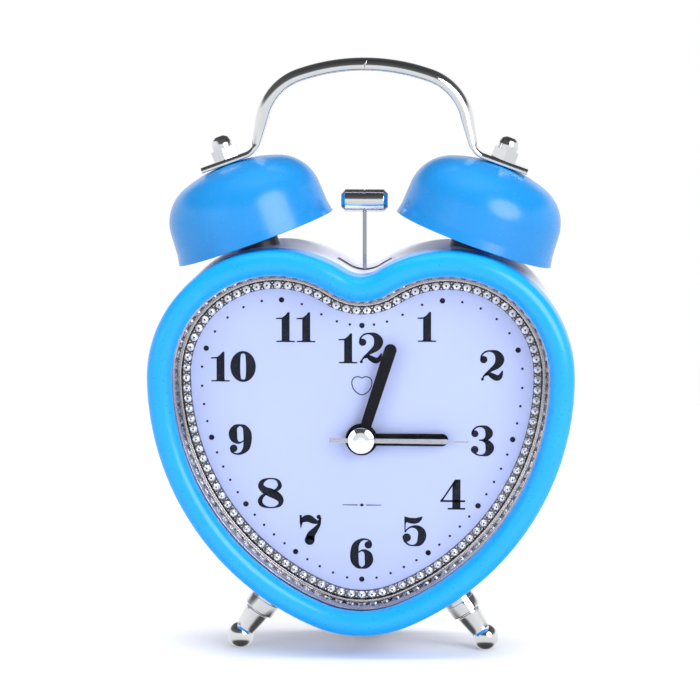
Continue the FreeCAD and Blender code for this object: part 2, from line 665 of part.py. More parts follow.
def transfer_wheel():
    """Wheel, pinion and setting stem between the minute arbor and the hour wheel."""
    pinion = gear(*TRANSFER, M["transfer_pinion"], HOUR_MODULE, 15.4, 16.8, 0.0, 0)
    wheel = gear(*TRANSFER, M["transfer"], MINUTE_MODULE, 17.2, 18.0, TRANSFER_TOOTH, 0)
    pivot = rod(*TRANSFER, 0.8, 13.2, 15.5)
    stem = rod(*TRANSFER, STEM_R, 16.6, 50.0)
    return pinion.fuse([wheel, pivot, stem])


def hour_wheel():
    """The hour wheel on its tube."""
    body = rod(*CENTRE, HOUR_TUBE_R, 9.9, 16.6)
    wheel = gear(*CENTRE, M["hour"], HOUR_MODULE, 15.6, 16.4, HOUR_TOOTH, 0)
    return body.fuse(wheel).cut(rod(*CENTRE, MINUTE_TUBE_R + RUNNING, 0, 30))


def alarm_wheel():
    """The alarm wheel on its tube, outermost on the centre axis."""
    body = rod(*CENTRE, ALARM_TUBE_R, 11.0, 15.2)
    wheel = gear(*CENTRE, A["wheel"], MINUTE_MODULE, 14.3, 15.1, 0.0, 0)
    return body.fuse(wheel).cut(rod(*CENTRE, HOUR_TUBE_R + RUNNING, 0, 30))


def alarm_set_gear():
    """The gear and stem that set the alarm hand."""
    wheel = gear(*SETTER, A["setter"], MINUTE_MODULE, 14.3, 15.1, SETTER_TOOTH, 0)
    return wheel.fuse([rod(*SETTER, 0.8, 13.2, 14.4), rod(*SETTER, STEM_R, 14.9, 50.0)])


def stator():
    """Two soft-iron legs round the rotor, joined through the coil's core."""
    x, z = ROTOR
    front, back = 20.3, 21.0
    left = block((-19.0, front, COIL_Z - 1.5), (-14.8, back, z + 2))
    yoke = block((x - 5, front, z - 5.2), (3.0, back, z + 2.5)).cut(
        block((x + 5, front - 1, z - 2.0), (5, back + 1, z + 6)))
    right = block((0.0, front, COIL_Z - 1.5), (3.0, back, z - 2.5))
    eye = rod(x, z, 5.0, front, back)
    plate = left.fuse([yoke, right, eye])
    core = block((-17.0, front, COIL_Z - 1.4), (1.0, back + 1.0, COIL_Z + 1.4))
    return plate.fuse(core).cut(rod(x, z, 3.3, front - 1, back + 1)).removeSplitter()


def coil_bobbin():
    """A plastic spool round the stator's core."""
    axis_y = 21.15
    spool = Part.makeCylinder(2.4, 13.0, V(-14.5, axis_y, COIL_Z), V(1, 0, 0))
    flanges = [Part.makeCylinder(3.8, 0.8, V(x, axis_y, COIL_Z), V(1, 0, 0)) for x in (-14.5, -2.3)]
    hole = block((-15.0, 20.2, COIL_Z - 1.5), (-1.0, 22.1, COIL_Z + 1.5))
    return spool.fuse(flanges).cut(hole)


def coil_winding():
    """The copper winding on the bobbin."""
    ring = Part.makeCylinder(3.5, 11.4, V(-13.7, 21.15, COIL_Z), V(1, 0, 0))
    return ring.cut(Part.makeCylinder(2.4, 13, V(-14.5, 21.15, COIL_Z), V(1, 0, 0)))


def circuit_board():
    """The board with the clock chip under its blob of resin."""
    board = block((6.0, 24.8, BOX_LOW + 1.5), (20.0, 25.6, BOX_LOW + 9.5))
    blob = Part.makeCylinder(2.2, 0.7, V(10.0, 24.1, BOX_LOW + 5.5), V(0, 1, 0))
    return board.fuse(blob)


def quartz_can():
    """The crystal oscillator's metal can, lying on the board."""
    return Part.makeCylinder(1.0, 6.0, V(13.0, 23.8, BOX_LOW + 5.5), V(1, 0, 0))


# ---------------------------------------------------------------- hands

def hand(angle, length, root_width, tip_width, boss_r, bore, front, back):
    """A flat hand with straight sides, a round tip and a round boss."""
    r, t = root_width / 2, tip_width / 2
    outline = [(-r, 0, 0), (r, 0, 0), (t, length, t * 0.98), (-t, length, t * 0.98)]
    blade = rounded_face(outline, lambda x, z: V(x, front, HAND_Z + z)).extrude(V(0, back - front, 0))
    body = blade.fuse(rod(*CENTRE, boss_r, front, back)).cut(rod(*CENTRE, bore, 0, 30))
    body.rotate(V(0, 0, HAND_Z), V(0, 1, 0), angle)
    return body.removeSplitter()


def second_hand():
    """A thin plated hand: parallel body, needle end and a short tail."""
    front, back = 7.7, 7.95
    corners = [(-0.6, -9.0, 0), (0.6, -9.0, 0), (0.7, 24.0, 0), (0.2, 25.0, 0), (0.2, 30.0, 0),
               (-0.2, 30.0, 0), (-0.2, 25.0, 0), (-0.7, 24.0, 0)]
    blade = rounded_face(corners, lambda x, z: V(x, front, HAND_Z + z)).extrude(V(0, back - front, 0))
    body = blade.fuse(rod(*CENTRE, 1.8, front, back)).cut(rod(*CENTRE, SECOND_SHAFT_R, 0, 30))
    body.rotate(V(0, 0, HAND_Z), V(0, 1, 0), SECOND_ANGLE)
    return body.removeSplitter()


def second_hand_cap():
    """The domed cap pressed over the end of the seconds arbor."""
    rim_r, rise = 3.7, 1.1
    dome = turned([(0, 0, 0), (rim_r, 0, 0), (rim_r, 0.35, 0.2), (2.4, 0.95, 1.6), (1.2, rise, 1.5),
                   (0, rise, 0)], (0, 7.7, HAND_Z), (0, -1, 0))
    return dome.cut(rod(*CENTRE, SECOND_SHAFT_R, 7.55, 8))


def knob(place, radius):
    """A fluted setting knob on the end of a stem."""
    body = rod(*place, radius, 46.4, 52.0)
    flutes = [rod(*beside(place, radius + 0.5, 360.0 * k / 18), 0.9, 46, 53) for k in range(18)]
    dish = Part.makeCone(radius - 3.2, radius - 1.8, 1.2, V(place[0], 50.8, place[1]), V(0, 1, 0))
    socket = rod(*place, STEM_R, 46, 50.0)
    return body.cut(flutes).cut([dish, socket])


# ---------------------------------------------------------------- back, battery and striker

BAY_X, BAY_LOW, BAY_HIGH, BAY_FLOOR, BAY_WALL = 28.5, 37.2, 53.4, 29.0, 1.2
DOOR_X, DOOR_LOW, DOOR_HIGH, DOOR_FRONT = 30.3, 35.4, 55.2, 44.8
BATTERY_Z, BATTERY_Y, BATTERY_R = 45.3, 36.6, 7.2
SWITCH = (-22.0, 90.0)
SWITCH_TRAVEL = 4.0
POSTS = ((-6.0, 101.0), (14.0, 101.0))
BRACKET_FRONT, BRACKET_BACK = 34.2, 35.2


def back_cover():
    """The back plate with its spigot, battery bay, stem holes, switch slot and bracket posts."""
    plate = heart_plate(CASE_INSET, CASE_BACK, COVER_BACK)
    spigot = heart_plate(2.5, 41.0, CASE_BACK).cut(heart_plate(4.0, 40.0, CASE_BACK + 1))
    w = BAY_WALL
    bay = block((-BAY_X - w, BAY_FLOOR - w, BAY_LOW - w), (BAY_X + w, CASE_BACK, BAY_HIGH + w))
    posts = [rod(x, z, 2.4, BRACKET_BACK, CASE_BACK) for x, z in POSTS]
    x, z = SWITCH
    screws = cover_screw_places()
    reliefs = [rod(p.x, p.z, 4.6, 40.5, CASE_BACK) for p in screws]
    holes = [
        block((-BAY_X, BAY_FLOOR, BAY_LOW), (BAY_X, 50, BAY_HIGH)),
        block((-DOOR_X - 0.2, DOOR_FRONT, DOOR_LOW - 0.2), (DOOR_X + 0.2, 50, DOOR_HIGH + 0.2)),
        block((x - 2.1, 40, z - 2.1), (x + 2.1, 50, z + SWITCH_TRAVEL + 2.1)),
    ]
    holes += [rod(*place, STEM_R + 0.3, 40, 50) for place in (TRANSFER, SETTER)]
    holes += [rod(p.x, p.z, 1.6, 40, 50) for p in screws]
    holes += [rod(px, pz, 0.8, BRACKET_BACK - 1, BRACKET_BACK + 5) for px, pz in POSTS]
    return plate.fuse([spigot.cut(reliefs), bay] + posts).cut(holes).removeSplitter()


def back_cover_screws():
    """Pan-head screws through the cover into the case's bosses."""
    screws = []
    recess = COVER_BACK + 0.8
    for p in cover_screw_places():
        shank = rod(p.x, p.z, 1.4, 37, COVER_BACK + 0.1)
        head = rod(p.x, p.z, 2.8, COVER_BACK, COVER_BACK + 1.5)
        cross = [block((p.x - 2.0, recess, p.z - 0.3), (p.x + 2.0, 50, p.z + 0.3)),
                 block((p.x - 0.3, recess, p.z - 2.0), (p.x + 0.3, 50, p.z + 2.0))]
        screws.append(shank.fuse(head).cut(cross))
    return screws


def battery_door():
    """The flat door over the battery, with a thumb recess."""
    door = block((-DOOR_X, DOOR_FRONT, DOOR_LOW), (DOOR_X, COVER_BACK, DOOR_HIGH))
    thumb = Part.makeCylinder(4.0, 2.0, V(DOOR_X - 8, COVER_BACK - 0.6, BATTERY_Z), V(0, 1, 0))
    return door.cut(thumb)


def battery_cell():
    """A round 14.5 mm cell with its nub."""
    body = turned([(0, 0, 0), (BATTERY_R, 0, 0.6), (BATTERY_R, 49.2, 0.8), (0, 49.2, 0)],
                  (-25.0, BATTERY_Y, BATTERY_Z), (1, 0, 0))
    nub = Part.makeCylinder(2.7, 1.3, V(24.2, BATTERY_Y, BATTERY_Z), V(1, 0, 0))
    return body.fuse(nub)


def battery_spring():
    """A folded leaf spring at the cell's negative end."""
    y0, y1 = BATTERY_Y - 4.5, BATTERY_Y + 4.5
    edge = BAY_X - 0.1
    points = [(-edge, 39.5), (-edge + 0.4, 39.5), (-edge + 0.4, 41.5), (-25.1, 45.3), (-edge + 0.4, 49.0),
              (-edge + 0.4, 51.0), (-edge, 51.0), (-edge, 48.8), (-25.6, 45.3), (-edge, 41.7)]
    wire = Part.makePolygon([V(x, y0, z) for x, z in points + points[:1]])
    return Part.Face(wire).extrude(V(0, y1 - y0, 0))


def battery_contact():
    """The plate that the cell's nub bears on."""
    plate = block((28.0, BATTERY_Y - 5, 40.5), (BAY_X, BATTERY_Y + 5, 50.1))
    return plate.fuse(Part.makeCone(3.4, 2.2, 2.4, V(28.0, BATTERY_Y, BATTERY_Z), V(-1, 0, 0)))


def alarm_switch_slider():
    """The alarm on-off slider: inner plate, neck and ribbed thumb piece."""
    x, z = SWITCH
    inner = block((x - 3.4, 42.6, z - 3.4), (x + 3.4, 43.9, z + 3.4))
    neck = block((x - 2.0, 43.8, z - 2.0), (x + 2.0, 46.4, z + 2.0))
    thumb = block((x - 2.6, 46.2, z - 3.0), (x + 2.6, 47.8, z + 3.0))
    ribs = [block((x - 2.6, 47.8, z + k * 1.5 - 0.35), (x + 2.6, 48.4, z + k * 1.5 + 0.35))
            for k in (-1, 0, 1)]
    return inner.fuse([neck, thumb] + ribs).removeSplitter()


def striker_bracket():
    """The pressed bracket that carries the motor, the gear pin and the hammer's pivot pin."""
    rear = block((-9.0, BRACKET_FRONT, 81.0), (17.6, BRACKET_BACK, 104.0))
    web = block((16.4, 28.0, 82.0), (17.6, BRACKET_BACK, 94.0))
    front = block((6.8, 28.0, 82.0), (17.6, 29.0, 94.0))
    holes = [rod(*MOTOR, 1.2, 27, 30), rod(*STRIKER, 1.0, 33, 36), rod(0, ARM_PIVOT_Z, 1.0, 33, 36)]
    holes += [rod(x, z, 1.1, 33, 36) for x, z in POSTS]
    return rear.fuse([web, front]).cut(holes).removeSplitter()


def bracket_screws():
    """Two screws that hold the bracket to the cover's posts."""
    return [rod(x, z, 0.8, BRACKET_FRONT - 0.1, BRACKET_BACK + 4).fuse(
        rod(x, z, 1.8, BRACKET_FRONT - 1.0, BRACKET_FRONT)) for x, z in POSTS]


def striker_pins():
    """Pins pressed in the bracket for the gear and the hammer arm."""
    return [rod(*STRIKER, 1.0, 31.0, BRACKET_BACK), rod(0, ARM_PIVOT_Z, 1.0, 26.0, BRACKET_BACK)]


def striker_gear():
    """The gear with the eccentric pin that shakes the hammer."""
    wheel = gear(*STRIKER, STRIKER_TEETH, STRIKER_MODULE, 31.5, 33.3, 0.0, 1.0 + RUNNING)
    disc = rod(*STRIKER, 3.0, 30.2, 30.9)
    hub = tube(*STRIKER, 2.4, 1.0 + RUNNING, 30.8, 31.6)
    pin = rod(0, STRIKER_Z + THROW, 0.7, 26.0, 30.3)
    return wheel.fuse([hub, disc, pin]).removeSplitter()


def motor_can():
    """The small direct-current motor's can, held by the bracket's front ear."""
    can = turned([(0, 0, 0), (5.0, 0, 0.8), (5.0, 13.2, 0.5), (2.2, 13.2, 0), (2.2, 13.4, 0), (0, 13.4, 0)],
                 (*MOTOR[:1], 14.6, MOTOR[1]), (0, 1, 0))
    return can.cut(rod(*MOTOR, 0.75 + RUNNING, 20, 30))


def motor_shaft_pinion():
    """The motor's shaft with its pinion."""
    return rod(*MOTOR, 0.75, 21, 33.8).fuse(
        gear(*MOTOR, MOTOR_TEETH, STRIKER_MODULE, 31.3, 33.5, MOTOR_TOOTH, 0))


def hammer_arm():
    """A flat rod from the hammer head down to a hub and a fork round the eccentric pin."""
    y0, y1 = BELL_Y - 0.9, BELL_Y + 0.9
    strip = block((-0.55, y0, ARM_PIVOT_Z), (0.55, y1, HAMMER_Z - HAMMER_R))
    gap, tine, foot = 3.4, 1.2, 85.5
    fork = block((-gap - tine, y0, foot), (gap + tine, y1, 95.5)).cut(
        block((-gap, y0 - 1, foot - 1), (gap, y1 + 1, 93.5)))
    neck = block((-1.8, y0, 94), (1.8, y1, ARM_PIVOT_Z))
    hub = rod(0, ARM_PIVOT_Z, 2.6, y0, 33.9)
    return strip.fuse([fork, neck, hub]).cut(rod(0, ARM_PIVOT_Z, 1.0 + RUNNING, 20, 40)).removeSplitter()


def hammer_head():
    """A turned striker lying across the arm, with chamfered ends and a centre groove."""
    half, chamfer, r = HAMMER_LENGTH / 2, 1.1, HAMMER_R
    profile = [(0, -half, 0), (r - chamfer, -half, 0), (r, -half + chamfer, 0.4), (r, -0.2, 0),
               (r - 0.2, -0.2, 0), (r - 0.2, 0.2, 0), (r, 0.2, 0), (r, half - chamfer, 0.4),
               (r - chamfer, half, 0), (0, half, 0)]
    head = turned(profile, (0, BELL_Y, HAMMER_Z), (1, 0, 0))
    arm_hole = block((-0.55, BELL_Y - 0.9, HAMMER_Z - 5), (0.55, BELL_Y + 0.9, HAMMER_Z - HAMMER_R))
    return head.cut(arm_hole)


# ---------------------------------------------------------------- write every node

os.makedirs("parts", exist_ok=True)

save("front_bezel", front_bezel())
save("window_lens", heart_plate(LENS_INSET, LENS_FRONT, LENS_BACK))
save("trim_ring", trim_ring())
save("trim_crystals", *trim_crystals())
save("dial_plate", dial_plate())
save("case_shell", case_shell())
save("back_cover", back_cover())
save("back_cover_screws", *back_cover_screws())
for label, side in (("left", -1), ("right", 1)):
    save("bell_" + label, bell(side))
    save("leg_" + label, leg(side))
save("bell_posts", *[bell_post(side) for side in (-1, 1)])
save("bell_studs", *[bell_rod(side, STUD_R, -11.0, BELL_TOP + FOOT_THICK + STUD_REACH) for side in (-1, 1)])
save("stud_lock_nuts", *[hexagon_nut(side, -9.8, -6.5, STUD_R) for side in (-1, 1)])
save("acorn_nuts", *[acorn_nut(side) for side in (-1, 1)])
save("handle", handle())
save("leg_collars", *[
    leg_rod(side, LEG_COLLAR_R, LEG_SEAT, 13.6).cut(leg_rod(side, 1.6, 12, 14)) for side in (-1, 1)])
save("leg_screws", *[leg_screw(side) for side in (-1, 1)])
save("rear_foot", rear_foot())

save("movement_front_shell", movement_front_shell())
save("movement_rear_shell", movement_rear_shell())
save("wheel_pins", *wheel_pins())
save("circuit_board", circuit_board())
save("quartz_can", quartz_can())
save("coil_bobbin", coil_bobbin())
save("coil_winding", coil_winding())
save("stator", stator())
save("rotor_magnet", rotor_magnet())
save("rotor_pinion", rotor_pinion())
save("intermediate_wheel", intermediate_wheel())
save("second_wheel", second_wheel())
save("third_wheel", third_wheel())
save("centre_wheel", centre_wheel())
save("minute_arbor", minute_arbor())
save("transfer_wheel", transfer_wheel())
save("hour_wheel", hour_wheel())
save("alarm_wheel", alarm_wheel())
save("alarm_set_gear", alarm_set_gear())

save("hour_hand", hand(HOUR_ANGLE, 24.4, 3.4, 3.5, 4.5, HOUR_TUBE_R, 10.0, 10.5))
save("minute_hand", hand(MINUTE_ANGLE, 28.5, 3.0, 3.5, 4.2, MINUTE_TUBE_R, 8.8, 9.3))
save("alarm_hand", hand(ALARM_ANGLE, 20.0, 1.6, 1.6, 3.6, ALARM_TUBE_R, 11.1, 11.4))
save("second_hand", second_hand())
save("second_hand_cap", second_hand_cap())
save("time_set_knob", knob(TRANSFER, 6.0))
save("alarm_set_knob", knob(SETTER, 6.0))

save("battery_cell", battery_cell())
save("battery_spring", battery_spring())
save("battery_contact", battery_contact())
save("battery_door", battery_door())
save("alarm_switch_slider", alarm_switch_slider())

save("striker_bracket", striker_bracket())
save("bracket_screws", *bracket_screws())
save("striker_pins", *striker_pins())
save("striker_gear", striker_gear())
save("motor_can", motor_can())
save("motor_shaft_pinion", motor_shaft_pinion())
save("hammer_arm", hammer_arm())
save("hammer_head", hammer_head())
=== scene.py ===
import math

import bmesh
import bpy
from mathutils import Matrix, Vector


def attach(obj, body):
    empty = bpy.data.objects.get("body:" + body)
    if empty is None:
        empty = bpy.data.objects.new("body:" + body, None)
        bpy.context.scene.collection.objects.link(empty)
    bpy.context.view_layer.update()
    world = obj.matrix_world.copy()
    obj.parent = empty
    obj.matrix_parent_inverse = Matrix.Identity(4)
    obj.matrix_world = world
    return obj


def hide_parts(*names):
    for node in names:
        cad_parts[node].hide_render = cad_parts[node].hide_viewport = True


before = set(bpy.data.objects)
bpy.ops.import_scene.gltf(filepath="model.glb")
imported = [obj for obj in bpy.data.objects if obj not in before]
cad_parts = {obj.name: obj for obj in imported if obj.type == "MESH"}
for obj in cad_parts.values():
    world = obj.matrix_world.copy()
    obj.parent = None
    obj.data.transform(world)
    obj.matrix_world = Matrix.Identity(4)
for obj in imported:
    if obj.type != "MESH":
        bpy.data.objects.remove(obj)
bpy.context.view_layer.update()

# Lengths in this file are millimetres until they reach a mesh, where MM turns them into metres.
MM = 0.001
FRONT = -26.0                       # Y of the bezel's front; stations below count back from it
HAND_Z = 61.1                       # height of the hands' axis

# ---- heart outline, the same four circles as the CAD ----
HEART_Z = 61.0
LOBE = (24.0, HEART_Z + 18.1)
LOBE_R = 35.8
TIP = (0.0, HEART_Z - 20.75)
TIP_R = 34.0
FLANK_R = 76.4
NOTCH_R = 8.06

# ---- bells: places along a bell's axis count from its rim plane ----
BELL_X, BELL_Y, BELL_Z, BELL_TILT = 30.9, 2.7, 115.9, 20.0
BELL_TOP = 22.8
BELL_WALL = 0.8
CROWN_R, CROWN_ANGLE = 42.0, 70.3         # the angle is where crown meets shoulder, from the rim plane
SHOULDER_R, SHOULDER_SWEEP = 12.4, 64.3
STUD_HOLE_R = 2.1

# ---- hammer slot in the case top ----
SLOT_HALF = 1.5
SLOT_REACH = 7.9
CASE_INSET = 0.4

# ---- handle ----
HANDLE_TOP = 165.8
HANDLE_THICK, HANDLE_WIDTH = 3.6, 8.0
FOOT_THICK, FOOT_WIDTH, FOOT_REACH = 1.6, 9.0, 7.6
BROW_R, BROW_TURN = 56.0, 19.0
SHOULDER_BEND_R, ANKLE_BEND_R = 16.0, 4.5
HANDLE_LEG_SLOPE = 77.0
HANDLE_LEG_POINT = (29.7, 147.8)          # a point on the handle leg's centreline
TAPER_LEAD, TAPER_LENGTH = 3.0, 3.5

# ---- trim ----
STONE_INSET, STONE_COUNT, STONE_FACE = 10.3, 103, 11.7
# radius of the painted dark reflection disc on each stone's table
REFLECTION_DISC_R = 0.33
BEAD_OFFSET = 0.72

# ---- dial ----
DIAL_FACE = 12.4                    # station of the dial's front
PRINT = 0.04                        # thickness of the printed ink
NUMERAL_HEIGHT = 8.6
DOT_INSET = 14.6
HOUR_DOT_R, MINUTE_DOT_R = 0.78, 0.36
NOUGHT_WIDE, NOUGHT_TALL = 3.6, 4.4
NOUGHT_SLOT_WIDE, NOUGHT_SLOT_TALL = 0.8, 3.65


# ------------------------------------------------------------------ mesh helpers

def station(y):
    """Frame Y of a station behind the bezel's front."""
    return FRONT + y


def new_piece(name, vertices, faces, material, body, replaces=(), smooth=True):
    """A mesh piece from vertices in millimetres, riding on a CAD body."""
    mesh = bpy.data.meshes.new(name)
    mesh.from_pydata([(x * MM, y * MM, z * MM) for x, y, z in vertices], [], faces)
    work = bmesh.new()
    work.from_mesh(mesh)
    bmesh.ops.remove_doubles(work, verts=work.verts, dist=1e-7)
    bmesh.ops.recalc_face_normals(work, faces=work.faces)
    work.to_mesh(mesh)
    work.free()
    mesh.materials.append(material)
    piece = bpy.data.objects.new(name, mesh)
    bpy.context.collection.objects.link(piece)
    if smooth:
        for polygon in mesh.polygons:
            polygon.use_smooth = True
        mesh.set_sharp_from_angle(angle=math.radians(38))
    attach(piece, body)
    if replaces:
        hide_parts(*replaces)
    return piece


def polar(radius, degrees):
    """An offset at an angle from the first axis towards the second."""
    return radius * math.cos(math.radians(degrees)), radius * math.sin(math.radians(degrees))


def rounded(corners, closed=True, steps=6):
    """Points along straight runs and tangent arcs through corners (u, v, radius)."""
    count = len(corners)
    points = []
    for i, (u, v, radius) in enumerate(corners):
        here = Vector((u, v))
        if radius == 0 or (not closed and i in (0, count - 1)):
            points.append((u, v))
            continue
        before = (Vector(corners[i - 1][:2]) - here).normalized()
        after = (Vector(corners[(i + 1) % count][:2]) - here).normalized()
        half = before.angle(after) / 2
        middle = here + (before + after).normalized() * (radius / math.sin(half))
        start = here + before * (radius / math.tan(half)) - middle
        end = here + after * (radius / math.tan(half)) - middle
        turn = start.angle_signed(end)
        for k in range(steps + 1):
            spoke = start.copy()
            spoke.rotate(Matrix.Rotation(-turn * k / steps, 2))
            points.append(tuple(middle + spoke))
    return points


def lathe(profile, base, axis, segments=96):
    """Vertices and faces of a profile of (radius, height) turned about an axis through base."""
    turn = Vector((0, 0, 1)).rotation_difference(Vector(axis)).to_matrix()
    rings = []
    vertices = []
    for radius, height in profile:
        ring = []
        around = 1 if radius < 1e-6 else segments
        for k in range(around):
            x, y = polar(radius, 360.0 * k / segments)
            ring.append(len(vertices))
            vertices.append(Vector(base) + turn @ Vector((x, y, height)))
        rings.append(ring)
    faces = []
    for lower, upper in zip(rings, rings[1:]):
        for k in range(segments):
            a, b = lower[k % len(lower)], lower[(k + 1) % len(lower)]
            c, d = upper[(k + 1) % len(upper)], upper[k % len(upper)]
            face = [v for n, v in enumerate((a, b, c, d)) if v not in (a, b, c, d)[:n]]
            if len(face) > 2:
                faces.append(face)
    return vertices, faces


def closed_sweep(sections):
    """Faces between equal closed loops, each a list of points; the last joins the first."""
    width = len(sections[0])
    vertices = [p for section in sections for p in section]
    faces = []
    for i in range(len(sections)):
        j = (i + 1) % len(sections)
        for k in range(width):
            n = (k + 1) % width
            faces.append((i * width + k, i * width + n, j * width + n, j * width + k))
    return vertices, faces


def open_sweep(sections):
    """A capped bar through equal sections."""
    vertices = [p for section in sections for p in section]
    count = len(sections[0])
    faces = []
    for i in range(len(sections) - 1):
        for k in range(count):
            n = (k + 1) % count
            faces.append((i * count + k, i * count + n, (i + 1) * count + n, (i + 1) * count + k))
    faces.append(tuple(range(count)))
    faces.append(tuple((len(sections) - 1) * count + k for k in range(count))[::-1])
    return vertices, faces


# ------------------------------------------------------------------ heart outline

def heading(start, end):
    """The angle from one (x, z) point to another, in degrees."""
    return math.degrees(math.atan2(end[1] - start[1], end[0] - start[0]))


def heart_arcs():
    """The outline as (centre, radius, first angle, last angle, sense); an inset adds sense * inset."""
    dx, dz = TIP[0] - LOBE[0], TIP[1] - LOBE[1]
    gap = math.hypot(dx, dz)
    near, far = FLANK_R - LOBE_R, FLANK_R - TIP_R
    along = (near ** 2 - far ** 2 + gap ** 2) / (2 * gap)
    aside = math.sqrt(near ** 2 - along ** 2)
    flank = (LOBE[0] + (dx * along + dz * aside) / gap, LOBE[1] + (dz * along - dx * aside) / gap)
    notch = (0.0, LOBE[1] + math.sqrt((NOTCH_R + LOBE_R) ** 2 - LOBE[0] ** 2))
    low, side, top = heading(flank, TIP), heading(flank, LOBE), heading(LOBE, notch)
    left_lobe, left_flank = (-LOBE[0], LOBE[1]), (-flank[0], flank[1])
    return [
        (TIP, TIP_R, -180 - low, low, -1),
        (flank, FLANK_R, low, side, -1),
        (LOBE, LOBE_R, side, top, -1),
        (notch, NOTCH_R, top - 180, -top, 1),
        (left_lobe, LOBE_R, 180 - top, 180 - side, -1),
        (left_flank, FLANK_R, 180 - side, 180 - low, -1),
    ]


def arc_point(arc, inset, angle):
    """An (x, z) point on an inset arc."""
    centre, radius, _, _, sense = arc
    x, z = polar(radius + sense * inset, angle)
    return centre[0] + x, centre[1] + z


def heart_sweep(section, step=1.0):
    """A closed section of (inset, station) points carried round the outline."""
    loops = []
    for arc in heart_arcs():
        _, radius, first, last, _ = arc
        count = max(8, int(abs(math.radians(last - first)) * radius / step))
        for k in range(count):
            angle = first + (last - first) * k / count
            loop = []
            for inset, y in section:
                x, z = arc_point(arc, inset, angle)
                loop.append((x, station(y), z))
            loops.append(loop)
    return closed_sweep(loops)


def places_along_heart(inset, count):
    """Evenly spaced (x, z, angle) places on the outline at an inset, from the tip."""
    arcs = heart_arcs()
    lengths = [(arc[1] + arc[4] * inset) * abs(math.radians(arc[3] - arc[2])) for arc in arcs]
    places = []
    for i in range(count):
        distance = (lengths[0] / 2 + sum(lengths) * i / count) % sum(lengths)
        for arc, length in zip(arcs, lengths):
            if distance <= length:
                break
            distance -= length
        angle = arc[2] + (arc[3] - arc[2]) * distance / length
        x, z = arc_point(arc, inset, angle)
        places.append((x, z, angle + (180 if arc[4] > 0 else 0)))
    return places


def ray_to_heart(inset, clock_degrees):
    """Where a ray from the hands' axis, clockwise from 12, meets the outline at an inset."""
    turn = math.radians(clock_degrees)
    ux, uz = math.sin(turn), math.cos(turn)
    best = None
    for arc in heart_arcs():
        centre, radius, first, last, sense = arc
        size = radius + sense * inset
        px, pz = -centre[0], HAND_Z - centre[1]
        b = px * ux + pz * uz
        c = px * px + pz * pz - size * size
        if b * b < c:
            continue
        for t in (-b - math.sqrt(b * b - c), -b + math.sqrt(b * b - c)):
            angle = math.degrees(math.atan2(pz + t * uz, px + t * ux))
            low, high = min(first, last), max(first, last)
            inside = any(low - 0.01 <= angle + turn360 <= high + 0.01 for turn360 in (-360, 0, 360))
            if t > 0 and inside and (best is None or t < best):
                best = t
    return ux * best, HAND_Z + uz * best


# ------------------------------------------------------------------ materials

class Surface:
    """A Principled material with a few node helpers, in object coordinates."""

    def __init__(self, name, color, roughness, metallic=0.0):
        self.material = bpy.data.materials.new(name)
        self.material.use_nodes = True
        self.tree = self.material.node_tree
        self.shader = self.tree.nodes["Principled BSDF"]
        self.coordinates = self.tree.nodes.new("ShaderNodeTexCoord").outputs["Object"]
        self.set("Base Color", (*color, 1.0))
        self.set("Roughness", roughness)
        self.set("Metallic", metallic)

    def set(self, socket, value):
        """A uniform value on the shader's own socket."""
        self.shader.inputs[socket].default_value = value
        return self

    def noise(self, scale, detail, stretch=(1, 1, 1)):
        """A noise factor; scale is in features per metre."""
        mapping = self.tree.nodes.new("ShaderNodeMapping")
        mapping.inputs["Scale"].default_value = stretch
        self.tree.links.new(self.coordinates, mapping.inputs["Vector"])
        node = self.tree.nodes.new("ShaderNodeTexNoise")
        node.inputs["Scale"].default_value = scale
        node.inputs["Detail"].default_value = detail
        self.tree.links.new(mapping.outputs["Vector"], node.inputs["Vector"])
        return node.outputs["Fac"]

    def ramp(self, factor, low, high):
        """A colour or grey that runs from low to high over the middle of the factor's range."""
        node = self.tree.nodes.new("ShaderNodeValToRGB")
        first, last = node.color_ramp.elements
        first.position, last.position = 0.3, 0.7
        first.color, last.color = (*low, 1.0), (*high, 1.0)
        self.tree.links.new(factor, node.inputs["Fac"])
        return node.outputs["Color"]

    def link(self, output, socket):
        """Drive a socket of the shader."""
        self.tree.links.new(output, self.shader.inputs[socket])
        return self

    def vary(self, scale, low, high):
        """Base colour that wanders between two close colours."""
        return self.link(self.ramp(self.noise(scale, 4.0), low, high), "Base Color")

    def wear(self, scale, low, high, stretch=(1, 1, 1)):
        """Roughness that wanders between two values."""
        shade = self.ramp(self.noise(scale, 6.0, stretch), (low,) * 3, (high,) * 3)
        return self.link(shade, "Roughness")

    def bump(self, scale, depth_mm):
        """Fine relief from noise."""
        node = self.tree.nodes.new("ShaderNodeBump")
        node.inputs["Strength"].default_value = 1.0
        node.inputs["Distance"].default_value = depth_mm * MM
        self.tree.links.new(self.noise(scale, 3.0), node.inputs["Height"])
        return self.link(node.outputs["Normal"], "Normal")


def bezel_plastic():
    """Glossy moulded plastic, bright sky blue, with faint flow lines and a skin of polish."""
    s = Surface("BezelBlue", (0.003, 0.325, 0.88), 0.3)
    s.vary(60, (0.002, 0.31, 0.86), (0.004, 0.335, 0.9)).wear(900, 0.26, 0.36)
    s.bump(350, 0.002)
    s.set("Coat Weight", 0.25).set("Coat Roughness", 0.16).set("Specular IOR Level", 0.4)
    return s.material


def bell_lacquer():
    """Gloss lacquer over steel, with slight orange peel."""
    s = Surface("BellLacquer", (0.007, 0.225, 0.59), 0.25)
    s.vary(45, (0.006, 0.215, 0.57), (0.009, 0.235, 0.61)).wear(700, 0.23, 0.28)
    s.bump(260, 0.003)
    return s.set("Coat Weight", 0.12).set("Coat Roughness", 0.2).material


def plated(name, color, low, high):
    """Plated or polished metal with fine handling marks."""
    s = Surface(name, color, low, 1.0)
    dulled = tuple(value + (0 - value) * 0.06 for value in color)
    s.vary(120, dulled, color).wear(1400, low, high, (1, 0.3, 1))
    return s.bump(2600, 0.002).material


